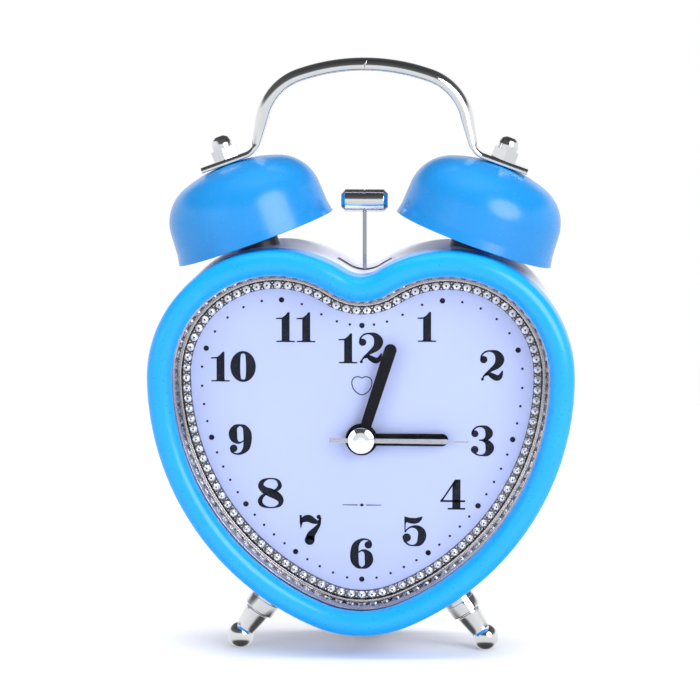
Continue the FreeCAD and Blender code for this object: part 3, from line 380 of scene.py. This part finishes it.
def moulded(name, low, high, rough_low, rough_high, grain_mm=0.01):
    """Moulded plastic with spark-eroded grain."""
    s = Surface(name, high, rough_low)
    return s.vary(90, low, high).wear(1500, rough_low, rough_high).bump(5200, grain_mm).material


def printed_dial():
    """A matt printed sheet in pale lavender blue with a trace of paper tooth."""
    s = Surface("DialPaper", (0.46, 0.53, 0.85), 0.5)
    s.vary(14, (0.45, 0.52, 0.84), (0.475, 0.545, 0.86)).wear(2600, 0.42, 0.55)
    return s.bump(6500, 0.004).material


def clear_lens():
    """Thin clear acrylic with the faintest surface waviness."""
    s = Surface("LensClear", (0.97, 0.98, 1.0), 0.02)
    s.set("Transmission Weight", 1.0).set("IOR", 1.02)
    return s.wear(200, 0.01, 0.03).material


def cut_stone():
    """Foil-backed cut stone: bright, slightly blue, glassy."""
    s = Surface("CutStone", (0.86, 0.9, 0.97), 0.05, 0.72)
    s.vary(900, (0.72, 0.78, 0.88), (1.0, 1.0, 1.0)).wear(3000, 0.03, 0.12)
    return s.set("Coat Weight", 1.0).material


def ink():
    """Semi-gloss near-black printing ink."""
    s = Surface("DialInk", (0.008, 0.01, 0.018), 0.4)
    s.vary(1500, (0.006, 0.008, 0.014), (0.014, 0.016, 0.026)).wear(2200, 0.35, 0.55)
    return s.set("Specular IOR Level", 0.12).bump(7000, 0.003).material


def hand_paint():
    """Satin black paint on stamped aluminium."""
    s = Surface("HandBlack", (0.008, 0.008, 0.011), 0.4)
    s.vary(90, (0.005, 0.005, 0.008), (0.011, 0.011, 0.014)).wear(1500, 0.34, 0.46)
    return s.set("Specular IOR Level", 0.1).bump(5200, 0.002).material


BLUE_PLASTIC = bezel_plastic()
LACQUER = bell_lacquer()
CHROME = plated("Chrome", (0.84, 0.86, 0.89), 0.04, 0.1)
TRIM_CHROME = plated("TrimChrome", (0.46, 0.44, 0.45), 0.07, 0.16)
# dark plating for the stone channel; on the stone tables the same material is a painted dark reflection
DARK_PLATE_AND_PAINTED_REFLECTION = plated("DarkPlateAndPaintedReflection", (0.13, 0.125, 0.13), 0.12, 0.24)
STEEL = plated("ZincSteel", (0.62, 0.62, 0.63), 0.2, 0.34)
BLACKENED = plated("BlackenedSteel", (0.12, 0.12, 0.13), 0.3, 0.45)
BRASS = plated("Brass", (0.72, 0.52, 0.22), 0.16, 0.3)
COPPER = plated("CopperWire", (0.78, 0.36, 0.16), 0.2, 0.35)
SILVER_HAND = plated("HandSilver", (0.42, 0.43, 0.47), 0.12, 0.24)
CASE_PLASTIC = moulded("ShellWhite", (0.78, 0.78, 0.92), (0.84, 0.84, 0.95), 0.3, 0.42)
# black moulded plastic of the knobs and slider, also used for the bell seat sleeves; along the hammer's
# slot it is painted shade
BLACK_PLASTIC_AND_PAINTED_SHADE = moulded("KnobBlackAndPaintedShade", (0.012, 0.012, 0.014), (0.022, 0.022, 0.025), 0.35, 0.5)
MOVEMENT_PLASTIC = moulded("MovementPlastic", (0.02, 0.02, 0.023), (0.03, 0.03, 0.034), 0.4, 0.6)
NYLON = moulded("Nylon", (0.74, 0.74, 0.7), (0.82, 0.82, 0.78), 0.35, 0.5)
BOARD = moulded("BoardGreen", (0.015, 0.12, 0.05), (0.02, 0.16, 0.07), 0.3, 0.45)
RUBBER = moulded("RubberBlack", (0.015, 0.015, 0.016), (0.03, 0.03, 0.032), 0.7, 0.9, 0.03)
BATTERY = moulded("BatterySleeve", (0.03, 0.03, 0.04), (0.05, 0.05, 0.065), 0.2, 0.3)
HAND_PAINT = hand_paint()
DIAL_PAPER = printed_dial()
LENS = clear_lens()
STONE = cut_stone()
INK = ink()

NODE_MATERIALS = {
    BLUE_PLASTIC: ("front_bezel",),
    LACQUER: ("bell_left", "bell_right"),
    CHROME: ("acorn_nuts", "handle", "leg_left", "leg_right", "leg_collars", "second_hand_cap",
             "hammer_head", "quartz_can"),
    TRIM_CHROME: ("trim_ring",),
    STONE: ("trim_crystals",),
    DIAL_PAPER: ("dial_plate",),
    LENS: ("window_lens",),
    CASE_PLASTIC: ("case_shell", "back_cover", "battery_door"),
    STEEL: ("back_cover_screws", "bell_studs", "stud_lock_nuts", "leg_screws", "wheel_pins",
            "battery_spring", "battery_contact", "bracket_screws", "striker_pins", "motor_can"),
    BLACKENED: ("bell_posts", "stator", "rotor_magnet", "striker_bracket"),
    RUBBER: ("rear_foot",),
    MOVEMENT_PLASTIC: ("movement_front_shell", "movement_rear_shell"),
    BOARD: ("circuit_board",),
    NYLON: ("coil_bobbin", "rotor_pinion", "intermediate_wheel", "third_wheel", "transfer_wheel",
            "hour_wheel", "alarm_wheel", "alarm_set_gear", "striker_gear"),
    COPPER: ("coil_winding",),
    BRASS: ("second_wheel", "centre_wheel", "minute_arbor", "motor_shaft_pinion"),
    HAND_PAINT: ("hour_hand", "minute_hand", "alarm_hand"),
    SILVER_HAND: ("second_hand", "hammer_arm"),
    BLACK_PLASTIC_AND_PAINTED_SHADE: ("time_set_knob", "alarm_set_knob", "alarm_switch_slider"),
    BATTERY: ("battery_cell",),
}


def dress_nodes():
    """Give every carried-over node its material and smooth shading."""
    for material, names in NODE_MATERIALS.items():
        for name in names:
            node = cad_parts[name]
            node.data.materials.clear()
            node.data.materials.append(material)
            weld = node.modifiers.new("Weld", "WELD")
            weld.merge_threshold = 1e-6
            for polygon in node.data.polygons:
                polygon.use_smooth = True
            split = node.modifiers.new("Edges", "EDGE_SPLIT")
            split.split_angle = math.radians(32)


# ------------------------------------------------------------------ camera, lights and stage

def add_camera():
    """A long lens a little above and to the right of the clock."""
    data = bpy.data.cameras.new("Camera")
    camera = bpy.data.objects.new("Camera", data)
    bpy.context.collection.objects.link(camera)
    turn, rise, distance = math.radians(3.0), math.radians(7.0), 1.1
    target = Vector((-0.0027, FRONT * MM, 0.0877))
    back = Vector((math.sin(turn) * math.cos(rise), -math.cos(turn) * math.cos(rise), math.sin(rise)))
    camera.location = target + back * distance
    camera.rotation_euler = back.to_track_quat("Z", "Y").to_euler()
    data.sensor_width = 36.0
    width_at_target = 194.6 * MM
    data.lens = data.sensor_width * distance / width_at_target
    data.clip_end = 20.0
    bpy.context.scene.camera = camera


def add_light(name, place, aim, size, power):
    """A soft oval light; place and aim are in metres."""
    data = bpy.data.lights.new(name, "AREA")
    data.shape = "ELLIPSE"
    data.size, data.size_y = size
    data.energy = power
    light = bpy.data.objects.new(name, data)
    bpy.context.collection.objects.link(light)
    light.location = place
    light.rotation_euler = (Vector(place) - Vector(aim)).to_track_quat("Z", "Y").to_euler()
    light.visible_camera = False
    return light


def add_floor():
    """A pale floor under and round the clock."""
    surface = Surface("PaleFloor", (0.93, 0.93, 0.94), 0.6)
    surface.vary(6, (0.925, 0.925, 0.935), (0.94, 0.94, 0.95)).wear(30, 0.55, 0.65)
    mesh = bpy.data.meshes.new("Floor")
    reach = 0.5
    mesh.from_pydata([(-reach, -reach, 0), (reach, -reach, 0), (reach, reach, 0), (-reach, reach, 0)],
                     [], [(0, 1, 2, 3)])
    mesh.materials.append(surface.material)
    floor = bpy.data.objects.new("Floor", mesh)
    bpy.context.collection.objects.link(floor)
    floor.visible_glossy = False


# (position, grey) stops of what polished metal reflects, by each axis of the direction from -1 to 1
STUDIO_BANDS = (
    ("Y", ((0.0, 0.9), (1.0, 1.0))),
    ("Z", ((0.0, 0.06), (0.13, 0.1), (0.22, 0.85), (0.62, 1.0), (0.7, 0.14), (1.0, 0.05))),
)


def light_world():
    """A bright even surround, with a banded one for polished metal and white for the camera."""
    world = bpy.data.worlds.new("Studio")
    bpy.context.scene.world = world
    world.use_nodes = True
    tree = world.node_tree
    soft = tree.nodes["Background"]
    soft.inputs["Color"].default_value = (0.93, 0.96, 1.0, 1.0)
    soft.inputs["Strength"].default_value = 0.56

    # polished metal sees a bright band round eye level, and dark above and below it
    direction = tree.nodes.new("ShaderNodeTexCoord").outputs["Generated"]
    split = tree.nodes.new("ShaderNodeSeparateXYZ")
    tree.links.new(direction, split.inputs["Vector"])
    bands = []
    for axis, stops in STUDIO_BANDS:
        place = tree.nodes.new("ShaderNodeMapRange")
        place.inputs["From Min"].default_value = -1.0
        tree.links.new(split.outputs[axis], place.inputs["Value"])
        ramp = tree.nodes.new("ShaderNodeValToRGB")
        elements = ramp.color_ramp.elements
        while len(elements) < len(stops):
            elements.new(0.5)
        for element, (position, value) in zip(elements, stops):
            element.position = position
            element.color = (value, value, value, 1.0)
        tree.links.new(place.outputs["Result"], ramp.inputs["Fac"])
        bands.append(ramp.outputs["Color"])
    both = tree.nodes.new("ShaderNodeMix")
    both.data_type = "RGBA"
    both.blend_type = "MULTIPLY"
    both.inputs["Factor"].default_value = 1.0
    tree.links.new(bands[0], both.inputs["A"])
    tree.links.new(bands[1], both.inputs["B"])
    studio = tree.nodes.new("ShaderNodeBackground")
    tree.links.new(both.outputs["Result"], studio.inputs["Color"])
    studio.inputs["Strength"].default_value = 1.0

    white = tree.nodes.new("ShaderNodeBackground")
    white.inputs["Color"].default_value = (1.0, 1.0, 1.0, 1.0)
    rays = tree.nodes.new("ShaderNodeLightPath")
    glossy = tree.nodes.new("ShaderNodeMixShader")
    seen = tree.nodes.new("ShaderNodeMixShader")
    tree.links.new(rays.outputs["Is Glossy Ray"], glossy.inputs["Fac"])
    tree.links.new(soft.outputs["Background"], glossy.inputs[1])
    tree.links.new(studio.outputs["Background"], glossy.inputs[2])
    tree.links.new(rays.outputs["Is Camera Ray"], seen.inputs["Fac"])
    tree.links.new(glossy.outputs["Shader"], seen.inputs[1])
    tree.links.new(white.outputs["Background"], seen.inputs[2])
    tree.links.new(seen.outputs["Shader"], tree.nodes["World Output"].inputs["Surface"])


def set_stage():
    """Camera, lights, floor and colour."""
    add_camera()
    add_floor()
    light_world()
    centre = (0, 0, 0.08)
    add_light("KeyRight", (0.66, -0.74, 0.53), centre, (0.85, 0.85), 8.5)
    fill = add_light("FillLeft", (-0.8, -0.8, 0.35), centre, (0.6, 0.9), 3.6)
    overhead = add_light("Overhead", (0.0, 0.1, 1.6), (0.0, 0.1, 0.0), (1.6, 1.6), 25.0)
    for light in (fill, overhead):
        light.visible_glossy = False
    view = bpy.context.scene.view_settings
    view.view_transform = "Standard"
    view.look = "None"
    bpy.context.scene.render.film_transparent = False


# ------------------------------------------------------------------ dial print

def curve_through(points, steps=8):
    """A smooth Catmull-Rom path through points of any length."""
    padded = [points[0]] + list(points) + [points[-1]]
    path = []
    for a, b, c, d in zip(padded, padded[1:], padded[2:], padded[3:]):
        for k in range(steps):
            t = k / steps
            path.append(tuple(
                0.5 * (2 * q + (r - p) * t + (2 * p - 5 * q + 4 * r - s) * t * t
                       + (3 * q - p - 3 * r + s) * t ** 3)
                for p, q, r, s in zip(a, b, c, d)))
    path.append(tuple(points[-1]))
    return path


def swelling(points):
    """Outline of a pen stroke through points (x, y, width)."""
    path = curve_through(points)
    left, right = [], []
    for i, (x, y, width) in enumerate(path):
        x0, y0, _ = path[max(i - 1, 0)]
        x1, y1, _ = path[min(i + 1, len(path) - 1)]
        length = math.hypot(x1 - x0, y1 - y0) or 1.0
        nx, ny = -(y1 - y0) / length * width / 2, (x1 - x0) / length * width / 2
        left.append((x + nx, y + ny))
        right.append((x - nx, y - ny))
    return left + right[::-1]


def disc(x, y, radius, sides=28):
    """Outline of a ball terminal or dot."""
    spokes = [polar(radius, 360 * k / sides) for k in range(sides)]
    return [(x + dx, y + dy) for dx, dy in spokes]


STEM = [(-2.7, 6.5), (-1.1, 6.5), (-1.1, 0.55), (-1.35, 0.42), (-2.6, 0.38), (-2.6, 0.0), (2.6, 0.0),
        (2.6, 0.38), (1.4, 0.42), (1.15, 0.55), (1.15, 8.3), (0.95, 8.55), (0.6, 8.45), (0.0, 7.7),
        (-0.9, 7.0), (-2.7, 6.85)]

# Digits as lists of shapes: an outline, a ("pen", points) stroke of changing width, or a ("ball", x, y,
# radius) terminal. A nine is a six turned over, and the nought has its own function.
DIGITS = {
    "1": [STEM],
    "2": [
        ("pen", [(-3.0, 6.2, 0.7), (-2.9, 7.2, 0.5), (-1.9, 8.2, 0.5), (-0.3, 8.45, 0.6), (1.3, 7.8, 1.7),
                 (2.15, 6.2, 2.6), (1.5, 4.5, 2.0), (-0.4, 3.0, 1.0), (-2.0, 1.7, 0.5), (-2.75, 0.5, 0.5)]),
        ("pen", [(-2.3, 1.4, 0.5), (-1.1, 2.0, 1.0), (0.1, 1.4, 1.6), (1.3, 0.85, 1.7), (2.3, 1.3, 1.3),
                 (2.95, 2.9, 0.35)]),
        ("ball", -2.35, 6.0, 1.05), ("ball", -2.7, 0.45, 0.42)],
    "3": [
        ("pen", [(-2.85, 6.4, 0.6), (-2.6, 7.3, 0.5), (-1.6, 8.25, 0.5), (-0.2, 8.45, 0.6), (1.2, 7.9, 1.5),
                 (1.9, 6.5, 2.2), (1.3, 5.2, 1.4), (0.2, 4.6, 0.5), (-0.9, 4.55, 0.42)]),
        ("pen", [(-0.3, 4.6, 0.42), (1.2, 4.1, 1.4), (2.1, 2.5, 2.5), (1.5, 0.9, 1.7), (0.0, 0.22, 0.5),
                 (-1.6, 0.5, 0.5), (-2.7, 1.5, 0.7)]),
        ("ball", -2.1, 6.35, 1.0), ("ball", -2.15, 1.85, 1.08)],
    "4": [
        [(-0.15, 0.3), (2.15, 0.3), (2.15, 8.6), (0.75, 8.6), (-0.15, 7.3)],
        [(0.6, 8.6), (1.2, 8.6), (-2.9, 2.45), (-3.6, 2.45), (-3.6, 2.2)],
        [(-3.6, 2.15), (3.5, 2.15), (3.5, 2.7), (-3.2, 2.7)],
        [(-1.45, 0.0), (3.5, 0.0), (3.5, 0.5), (-1.45, 0.5)]],
    "5": [
        [(-2.8, 8.6), (-1.4, 8.2), (0.4, 8.1), (2.4, 8.6), (2.2, 7.7), (1.3, 6.75), (0.2, 6.4), (-1.0, 6.5),
         (-2.1, 6.9), (-2.35, 6.6), (-2.45, 4.2), (-2.75, 4.0), (-2.75, 6.0)],
        ("pen", [(-2.6, 4.0, 0.4), (-1.8, 5.0, 0.45), (-0.6, 5.6, 0.6), (0.9, 5.4, 1.3), (2.05, 4.3, 2.1),
                 (2.2, 2.7, 2.4), (1.5, 1.0, 1.7), (0.0, 0.25, 0.5), (-1.6, 0.5, 0.5), (-2.85, 1.7, 0.7)]),
        ("ball", -2.1, 2.5, 1.2)],
    "6": [
        ("pen", [(2.6, 7.0, 0.7), (2.3, 8.0, 0.5), (1.0, 8.5, 0.5), (-0.4, 8.2, 0.9), (-1.7, 6.8, 1.9),
                 (-2.1, 4.6, 2.35), (-2.0, 2.4, 2.3), (-1.2, 0.8, 1.3), (0.1, 0.2, 0.42)]),
        ("pen", [(-0.1, 0.2, 0.42), (1.3, 0.8, 1.4), (2.0, 2.3, 2.4), (1.8, 4.0, 2.2), (0.9, 5.1, 1.1),
                 (-0.1, 5.25, 0.5), (-1.0, 4.7, 0.4)]),
        ("ball", 1.85, 6.9, 1.08)],
    "7": [
        [(-3.15, 8.6), (-2.5, 8.6), (-2.4, 7.6), (-2.3, 6.2), (-2.8, 4.6), (-3.1, 6.4)],
        ("pen", [(-2.8, 6.6, 0.8), (-1.7, 7.4, 1.8), (-0.5, 7.6, 2.1), (0.7, 7.0, 1.8), (1.8, 6.6, 1.1),
                 (2.5, 7.0, 0.8), (2.8, 7.9, 0.7)]),
        ("pen", [(2.75, 7.3, 0.5), (2.4, 5.9, 0.9), (1.3, 4.4, 1.6), (0.2, 3.0, 2.3), (-0.25, 1.5, 2.8)]),
        ("ball", 2.3, 8.1, 0.62), ("ball", -0.28, 1.4, 1.4)],
    "8": [
        ("pen", [(0.9, 4.9, 0.6), (1.9, 5.4, 1.0), (2.6, 6.4, 1.2), (2.1, 7.8, 0.8), (0.8, 8.4, 0.45),
                 (-0.8, 8.35, 0.5), (-2.3, 7.6, 1.2), (-2.75, 6.3, 1.7), (-1.7, 5.1, 2.1), (0.1, 4.35, 2.5),
                 (1.9, 3.4, 2.3), (2.85, 2.2, 1.7), (2.5, 0.9, 1.0), (1.0, 0.22, 0.45), (-0.9, 0.22, 0.5),
                 (-2.5, 0.9, 1.1), (-3.0, 2.1, 1.3), (-2.3, 3.4, 1.0), (-1.2, 4.1, 0.6)])],
}


def digit_outlines(digit):
    """Outlines of one digit, standing on its baseline; a nine is a six turned over."""
    if digit == "9":
        return [[(-x, NUMERAL_HEIGHT - y) for x, y in outline] for outline in digit_outlines("6")]
    outlines = []
    for shape in DIGITS[digit]:
        if shape[0] == "pen":
            outlines.append(swelling(shape[1]))
        elif shape[0] == "ball":
            outlines.append(disc(*shape[1:]))
        else:
            outlines.append(shape)
    return outlines


def nought_halves():
    """The two thick sides of the nought, between an oval and a narrow slot."""
    middle = NUMERAL_HEIGHT / 2
    halves = []
    for side in (1, -1):
        outer = [(side * NOUGHT_WIDE * math.cos(a), middle + NOUGHT_TALL * math.sin(a))
                 for a in (math.radians(-90 + 6 * k) for k in range(31))]
        inner = [(side * NOUGHT_SLOT_WIDE * abs(math.cos(a)) ** 0.35,
                  middle + NOUGHT_SLOT_TALL * math.sin(a))
                 for a in (math.radians(90 - 6 * k) for k in range(31))]
        halves.append(outer + inner)
    return halves


def printed(name, outlines, x, z):
    """Thin ink shapes lying on the dial."""
    vertices, faces = [], []
    front, back = station(DIAL_FACE - PRINT), station(DIAL_FACE)
    for outline in outlines:
        base = len(vertices)
        n = len(outline)
        vertices += [(x + u, front, z + v) for u, v in outline]
        vertices += [(x + u, back, z + v) for u, v in outline]
        faces.append(tuple(range(base, base + n)))
        faces += [(base + k, base + (k + 1) % n, base + n + (k + 1) % n, base + n + k) for k in range(n)]
    new_piece(name, vertices, faces, INK, "root", smooth=False)


# numeral centres from the hands' axis: (x, z)
NUMERAL_PLACES = {
    "12": (-0.2, 25.6), "1": (18.3, 31.8), "2": (36.6, 20.9), "3": (33.95, -0.5), "4": (25.7, -15.8),
    "5": (14.8, -26.4), "6": (0.0, -33.0), "7": (-14.5, -26.3), "8": (-25.8, -15.8), "9": (-34.4, -0.5),
    "10": (-36.1, 20.2), "11": (-18.6, 31.5)}
PAIR_SHIFTS = {"10": (-3.8, 2.6), "11": (-2.9, 2.9), "12": (-3.7, 2.75)}


def print_numerals():
    """The twelve upright numerals."""
    for label, (x, z) in NUMERAL_PLACES.items():
        shifts = PAIR_SHIFTS.get(label, (0.0,))
        outlines = []
        for digit, shift in zip(label, shifts):
            shapes = nought_halves() if digit == "0" else digit_outlines(digit)
            outlines += [[(u + shift, v) for u, v in outline] for outline in shapes]
        printed("numeral_" + label, outlines, x, HAND_Z + z - NUMERAL_HEIGHT / 2)


def print_minute_dots():
    """Sixty dots on six-degree rays, following the heart; every fifth is larger."""
    outlines = []
    for minute in range(60):
        x, z = ray_to_heart(DOT_INSET, 6 * minute)
        outlines.append(disc(x, z, HOUR_DOT_R if minute % 5 == 0 else MINUTE_DOT_R, sides=24))
    printed("minute_dots", outlines, 0.0, 0.0)


def print_ornament():
    """A small plain heart line above the hands and a short rule with a lozenge below."""
    above, below = HAND_Z + 15.0, HAND_Z - 19.0
    scale, line = 0.05, 0.3
    outer, inner = [], []
    for arc in heart_arcs():
        for k in range(8):
            angle = arc[2] + (arc[3] - arc[2]) * k / 8
            for loop, inset in ((outer, 0.0), (inner, line / scale)):
                x, z = arc_point(arc, inset, angle)
                loop.append((x * scale, (z - HEART_Z) * scale))
    bands = []
    for k in range(len(outer)):
        n = (k + 1) % len(outer)
        bands.append([outer[k], outer[n], inner[n], inner[k]])
    printed("ornament_heart", bands, 0.0, above)
    rules = [[(-5.5, -0.1), (-1.2, -0.14), (-1.2, 0.14), (-5.5, 0.1)],
             [(1.2, -0.14), (5.5, -0.1), (5.5, 0.1), (1.2, 0.14)],
             [(-0.7, 0.0), (0.0, -0.5), (0.7, 0.0), (0.0, 0.5)]]
    printed("ornament_rule", rules, 0.0, below)


# ------------------------------------------------------------------ bezel, trim and stones

def build_bezel():
    """The glossy ring at full smoothness."""
    section = rounded([
        (0, 13.0, 0), (0, 0, 3.4), (7.0, 0, 3.4), (7.0, 4.5, 0.25), (5.0, 4.5, 0), (5.0, 6.8, 0),
        (3.0, 6.8, 0), (3.0, 9.5, 0), (1.5, 9.5, 0), (1.5, 13.0, 0)], steps=12)
    vertices, faces = heart_sweep(section, step=0.8)
    new_piece("bezel_ring", vertices, faces, BLUE_PLASTIC, "root", ("front_bezel",))


def build_trim():
    """The plated wall and bead, and the darker stone channel inside them."""
    wall = rounded([
        (5.2, 6.05, 0), (7.3, 6.05, 0.15), (8.35, 11.0, 0.1), (8.5, 10.9, 0.12), (8.95, 10.9, 0.15),
        (9.0, 11.7, 0), (8.3, 12.35, 0), (6.7, 6.7, 0), (5.2, 6.7, 0)], steps=4)
    vertices, faces = heart_sweep(wall, step=0.8)
    new_piece("trim_wall", vertices, faces, TRIM_CHROME, "root", ("trim_ring",))
    channel = rounded([(9.0, 11.72, 0), (9.1, 11.45, 0), (9.25, 11.75, 0), (11.4, 11.75, 0),
                       (11.55, 12.38, 0), (9.0, 12.38, 0)], steps=3)
    vertices, faces = heart_sweep(channel, step=0.8)
    new_piece("stone_channel", vertices, faces, DARK_PLATE_AND_PAINTED_REFLECTION, "root", ("trim_ring",))


def build_stones():
    """A cut stone for each place: girdle, eight kite facets, star facets and a table."""
    vertices, faces = [], []
    for x, z, angle in places_along_heart(STONE_INSET, STONE_COUNT):
        base = len(vertices)
        # (radius, station, turn) of each ring from the seat to the table
        for radius, y, turn in ((1.1, STONE_FACE, 0.0), (1.15, STONE_FACE - 0.18, 0.0),
                                (0.9, STONE_FACE - 0.55, 22.5), (0.5, STONE_FACE - 0.85, 0.0)):
            for k in range(8):
                dx, dz = polar(radius, angle + turn + 45 * k)
                vertices.append((x + dx, station(y), z + dz))
        for k in range(8):
            n = (k + 1) % 8
            a, b, c = base + 8, base + 16, base + 24
            faces += [(base + k, base + n, a + n, a + k), (a + k, a + n, b + k), (a + n, b + n, b + k),
                      (b + k, b + n, c + n), (b + k, c + n, c + k)]
        faces.append(tuple(base + 24 + k for k in range(8)))
        faces.append(tuple(base + k for k in range(8)))
    new_piece("cut_stones", vertices, faces, STONE, "root", ("trim_crystals",), smooth=False)


def build_painted_table_reflections():
    """Painted reflection: a dark disc in the middle of each stone's table, standing in for the dark glint
    there.
    """
    vertices, faces = [], []
    for x, z, angle in places_along_heart(STONE_INSET, STONE_COUNT):
        base = len(vertices)
        vertices += [(x + dx, station(STONE_FACE - 0.87), z + dz)
                     for dx, dz in (polar(REFLECTION_DISC_R, angle + 45 * k) for k in range(8))]
        faces.append(tuple(range(base, base + 8)))
    new_piece("painted_table_reflections", vertices, faces, DARK_PLATE_AND_PAINTED_REFLECTION, "root", smooth=False)


def build_beads():
    """Pairs of tiny setting beads between the stones."""
    vertices, faces = [], []
    for x, z, angle in places_along_heart(STONE_INSET, 2 * STONE_COUNT)[1::2]:
        for side in (-1, 1):
            dx, dz = polar(BEAD_OFFSET * side, angle)
            bead, sides = lathe([(0.34, 0.0), (0.3, 0.2), (0.17, 0.33), (0.0, 0.38)],
                                (x + dx, station(STONE_FACE + 0.05), z + dz), (0, -1, 0), 8)
            base = len(vertices)
            vertices += [tuple(v) for v in bead]
            faces += [tuple(base + i for i in face) for face in sides]
    new_piece("setting_beads", vertices, faces, TRIM_CHROME, "root", ("trim_crystals",))


# ------------------------------------------------------------------ bells, handle and small metal parts

def bell_point(side, height):
    """A point on a bell's axis above the rim plane."""
    dx, dz = polar(height, 90 - BELL_TILT)
    return side * (BELL_X + dx), BELL_Y, BELL_Z + dz


def bell_axis(side):
    """The outward direction of a bell's axis."""
    dx, dz = polar(1.0, 90 - BELL_TILT)
    return side * dx, 0.0, dz


def bell_profile(inset):
    """Crown, shoulder, wall and lip of a bell at an inset from its outside."""
    steps = 24
    dx, dh = polar(CROWN_R - SHOULDER_R, CROWN_ANGLE)
    centre = (dx, BELL_TOP - CROWN_R + dh)
    points = []
    first = math.degrees(math.acos(STUD_HOLE_R / (CROWN_R - inset)))
    for k in range(steps + 1):
        r, h = polar(CROWN_R - inset, first + (CROWN_ANGLE - first) * k / steps)
        points.append((r, BELL_TOP - CROWN_R + h))
    for k in range(1, steps + 1):
        r, h = polar(SHOULDER_R - inset, CROWN_ANGLE - SHOULDER_SWEEP * k / steps)
        points.append((centre[0] + r, centre[1] + h))
    wall_top = (points[-1][0], points[-1][1], 0)
    lip = rounded([wall_top, (22.7 - inset, 3.2, 6.0), (23.2 - inset * 0.7, 0.5, 0)],
                  closed=False, steps=8)
    return points + lip[1:]


def build_bells():
    """Two lacquered cups with a rolled lip."""
    outer = bell_profile(0.0)
    inner = bell_profile(BELL_WALL)
    rim = [(23.3, 0.42), (23.28, 0.34), (23.15, 0.3), (22.8, 0.3)]
    profile = outer + rim + inner[::-1] + outer[:1]
    for label, side in (("left", -1), ("right", 1)):
        vertices, faces = lathe(profile, bell_point(side, 0), bell_axis(side), 128)
        new_piece("bell_cup_" + label, vertices, faces, LACQUER, "root", ("bell_" + label,))


def build_slot_painted_shade():
    """Painted shade of the hammer's slot: black strips along both sides of the slot in the case top."""
    width, proud, sunk = 0.35, 0.12, 0.15
    top = [(x, z, angle) for x, z, angle in places_along_heart(CASE_INSET, 700)
           if abs(x) < SLOT_REACH and z > HEART_Z]
    for label, front in (("front", BELL_Y - SLOT_HALF - width), ("back", BELL_Y + SLOT_HALF)):
        back = front + width
        sections = []
        for x, z, angle in top:
            high, low = polar(proud, angle), polar(-sunk, angle)
            sections.append([
                (x + high[0], front, z + high[1]), (x + high[0], back, z + high[1]),
                (x + low[0], back, z + low[1]), (x + low[0], front, z + low[1])])
        vertices, faces = open_sweep(sections)
        new_piece("slot_shade_strip_" + label, vertices, faces, BLACK_PLASTIC_AND_PAINTED_SHADE, "root")


def build_seat_rings():
    """A black sleeve round the boss under each bell, which darkens the seat between bell and case."""
    low, high, bore, outside = -6.2, -0.7, 5.55, 5.95
    profile = rounded([
        (bore, low, 0), (outside, low, 0.2), (outside, high, 0.3), (bore, high, 0)], steps=4)
    for label, side in (("left", -1), ("right", 1)):
        vertices, faces = lathe(profile + profile[:1], bell_point(side, 0), bell_axis(side), 72)
        new_piece("bell_seat_" + label, vertices, faces, BLACK_PLASTIC_AND_PAINTED_SHADE, "root")


def handle_path():
    """Centreline of the right half of the handle: (x, z, thickness, width, heading) from the top."""
    brow_x = BROW_R * math.tan(math.radians(BROW_TURN / 2))

    def meet(p, p_heading, q, q_heading):
        """Where two lines meet; headings are downwards from +X."""
        a = (math.cos(math.radians(p_heading)), -math.sin(math.radians(p_heading)))
        b = (math.cos(math.radians(q_heading)), -math.sin(math.radians(q_heading)))
        cross = a[0] * b[1] - a[1] * b[0]
        t = ((q[0] - p[0]) * b[1] - (q[1] - p[1]) * b[0]) / cross
        return p[0] + a[0] * t, p[1] + a[1] * t

    seat_x, _, seat_z = bell_point(1, BELL_TOP + FOOT_THICK / 2)
    shoulder = meet((brow_x, HANDLE_TOP), BROW_TURN, HANDLE_LEG_POINT, HANDLE_LEG_SLOPE)
    ankle = meet(HANDLE_LEG_POINT, HANDLE_LEG_SLOPE, (seat_x, seat_z), BELL_TILT)
    dx, dz = polar(FOOT_REACH, -BELL_TILT)
    corners = [(0, HANDLE_TOP, 0), (brow_x, HANDLE_TOP, BROW_R), (*shoulder, SHOULDER_BEND_R),
               (*ankle, ANKLE_BEND_R), (seat_x + dx, seat_z + dz, 0)]
    path = rounded(corners, closed=False, steps=20)
    lengths = [0.0]
    for a, b in zip(path, path[1:]):
        lengths.append(lengths[-1] + math.dist(a, b))
    ankle_at = lengths[-1] - FOOT_REACH - math.dist(ankle, (seat_x, seat_z)) - 1.0
    stations = []
    for i, (x, z) in enumerate(path):
        before, after = path[max(i - 1, 0)], path[min(i + 1, len(path) - 1)]
        aim = math.atan2(after[1] - before[1], after[0] - before[0])
        flat = min(1.0, max(0.0, (lengths[i] - (ankle_at - TAPER_LEAD)) / TAPER_LENGTH))
        flat = flat * flat * (3 - 2 * flat)
        stations.append((x, z, HANDLE_THICK - (HANDLE_THICK - FOOT_THICK) * flat,
                         HANDLE_WIDTH + (FOOT_WIDTH - HANDLE_WIDTH) * flat, aim))
    return stations


def build_handle():
    """The arch: a strip with a softly crowned section that flattens into two feet."""
    half = handle_path()
    whole = [(-x, z, thick, width, -aim) for x, z, thick, width, aim in half[:0:-1]] + half
    sections = []
    for x, z, thick, width, aim in whole:
        normal = (-math.sin(aim), math.cos(aim))
        crown, edge = 0.68 * thick, 0.2 * thick
        ring = rounded([(thick / 2, -width / 2, crown), (thick / 2, width / 2, crown),
                        (-thick / 2, width / 2, edge), (-thick / 2, -width / 2, edge)], steps=9)
        sections.append([(x + normal[0] * u, BELL_Y + v, z + normal[1] * u) for u, v in ring])
    vertices, faces = open_sweep(sections)
    new_piece("handle_strip", vertices, faces, CHROME, "root", ("handle",))


# ------------------------------------------------------------------ make the scene

set_stage()
dress_nodes()
print_numerals()
print_minute_dots()
print_ornament()
build_bezel()
build_trim()
build_stones()
build_painted_table_reflections()
build_beads()
build_slot_painted_shade()
build_seat_rings()
build_bells()
build_handle()
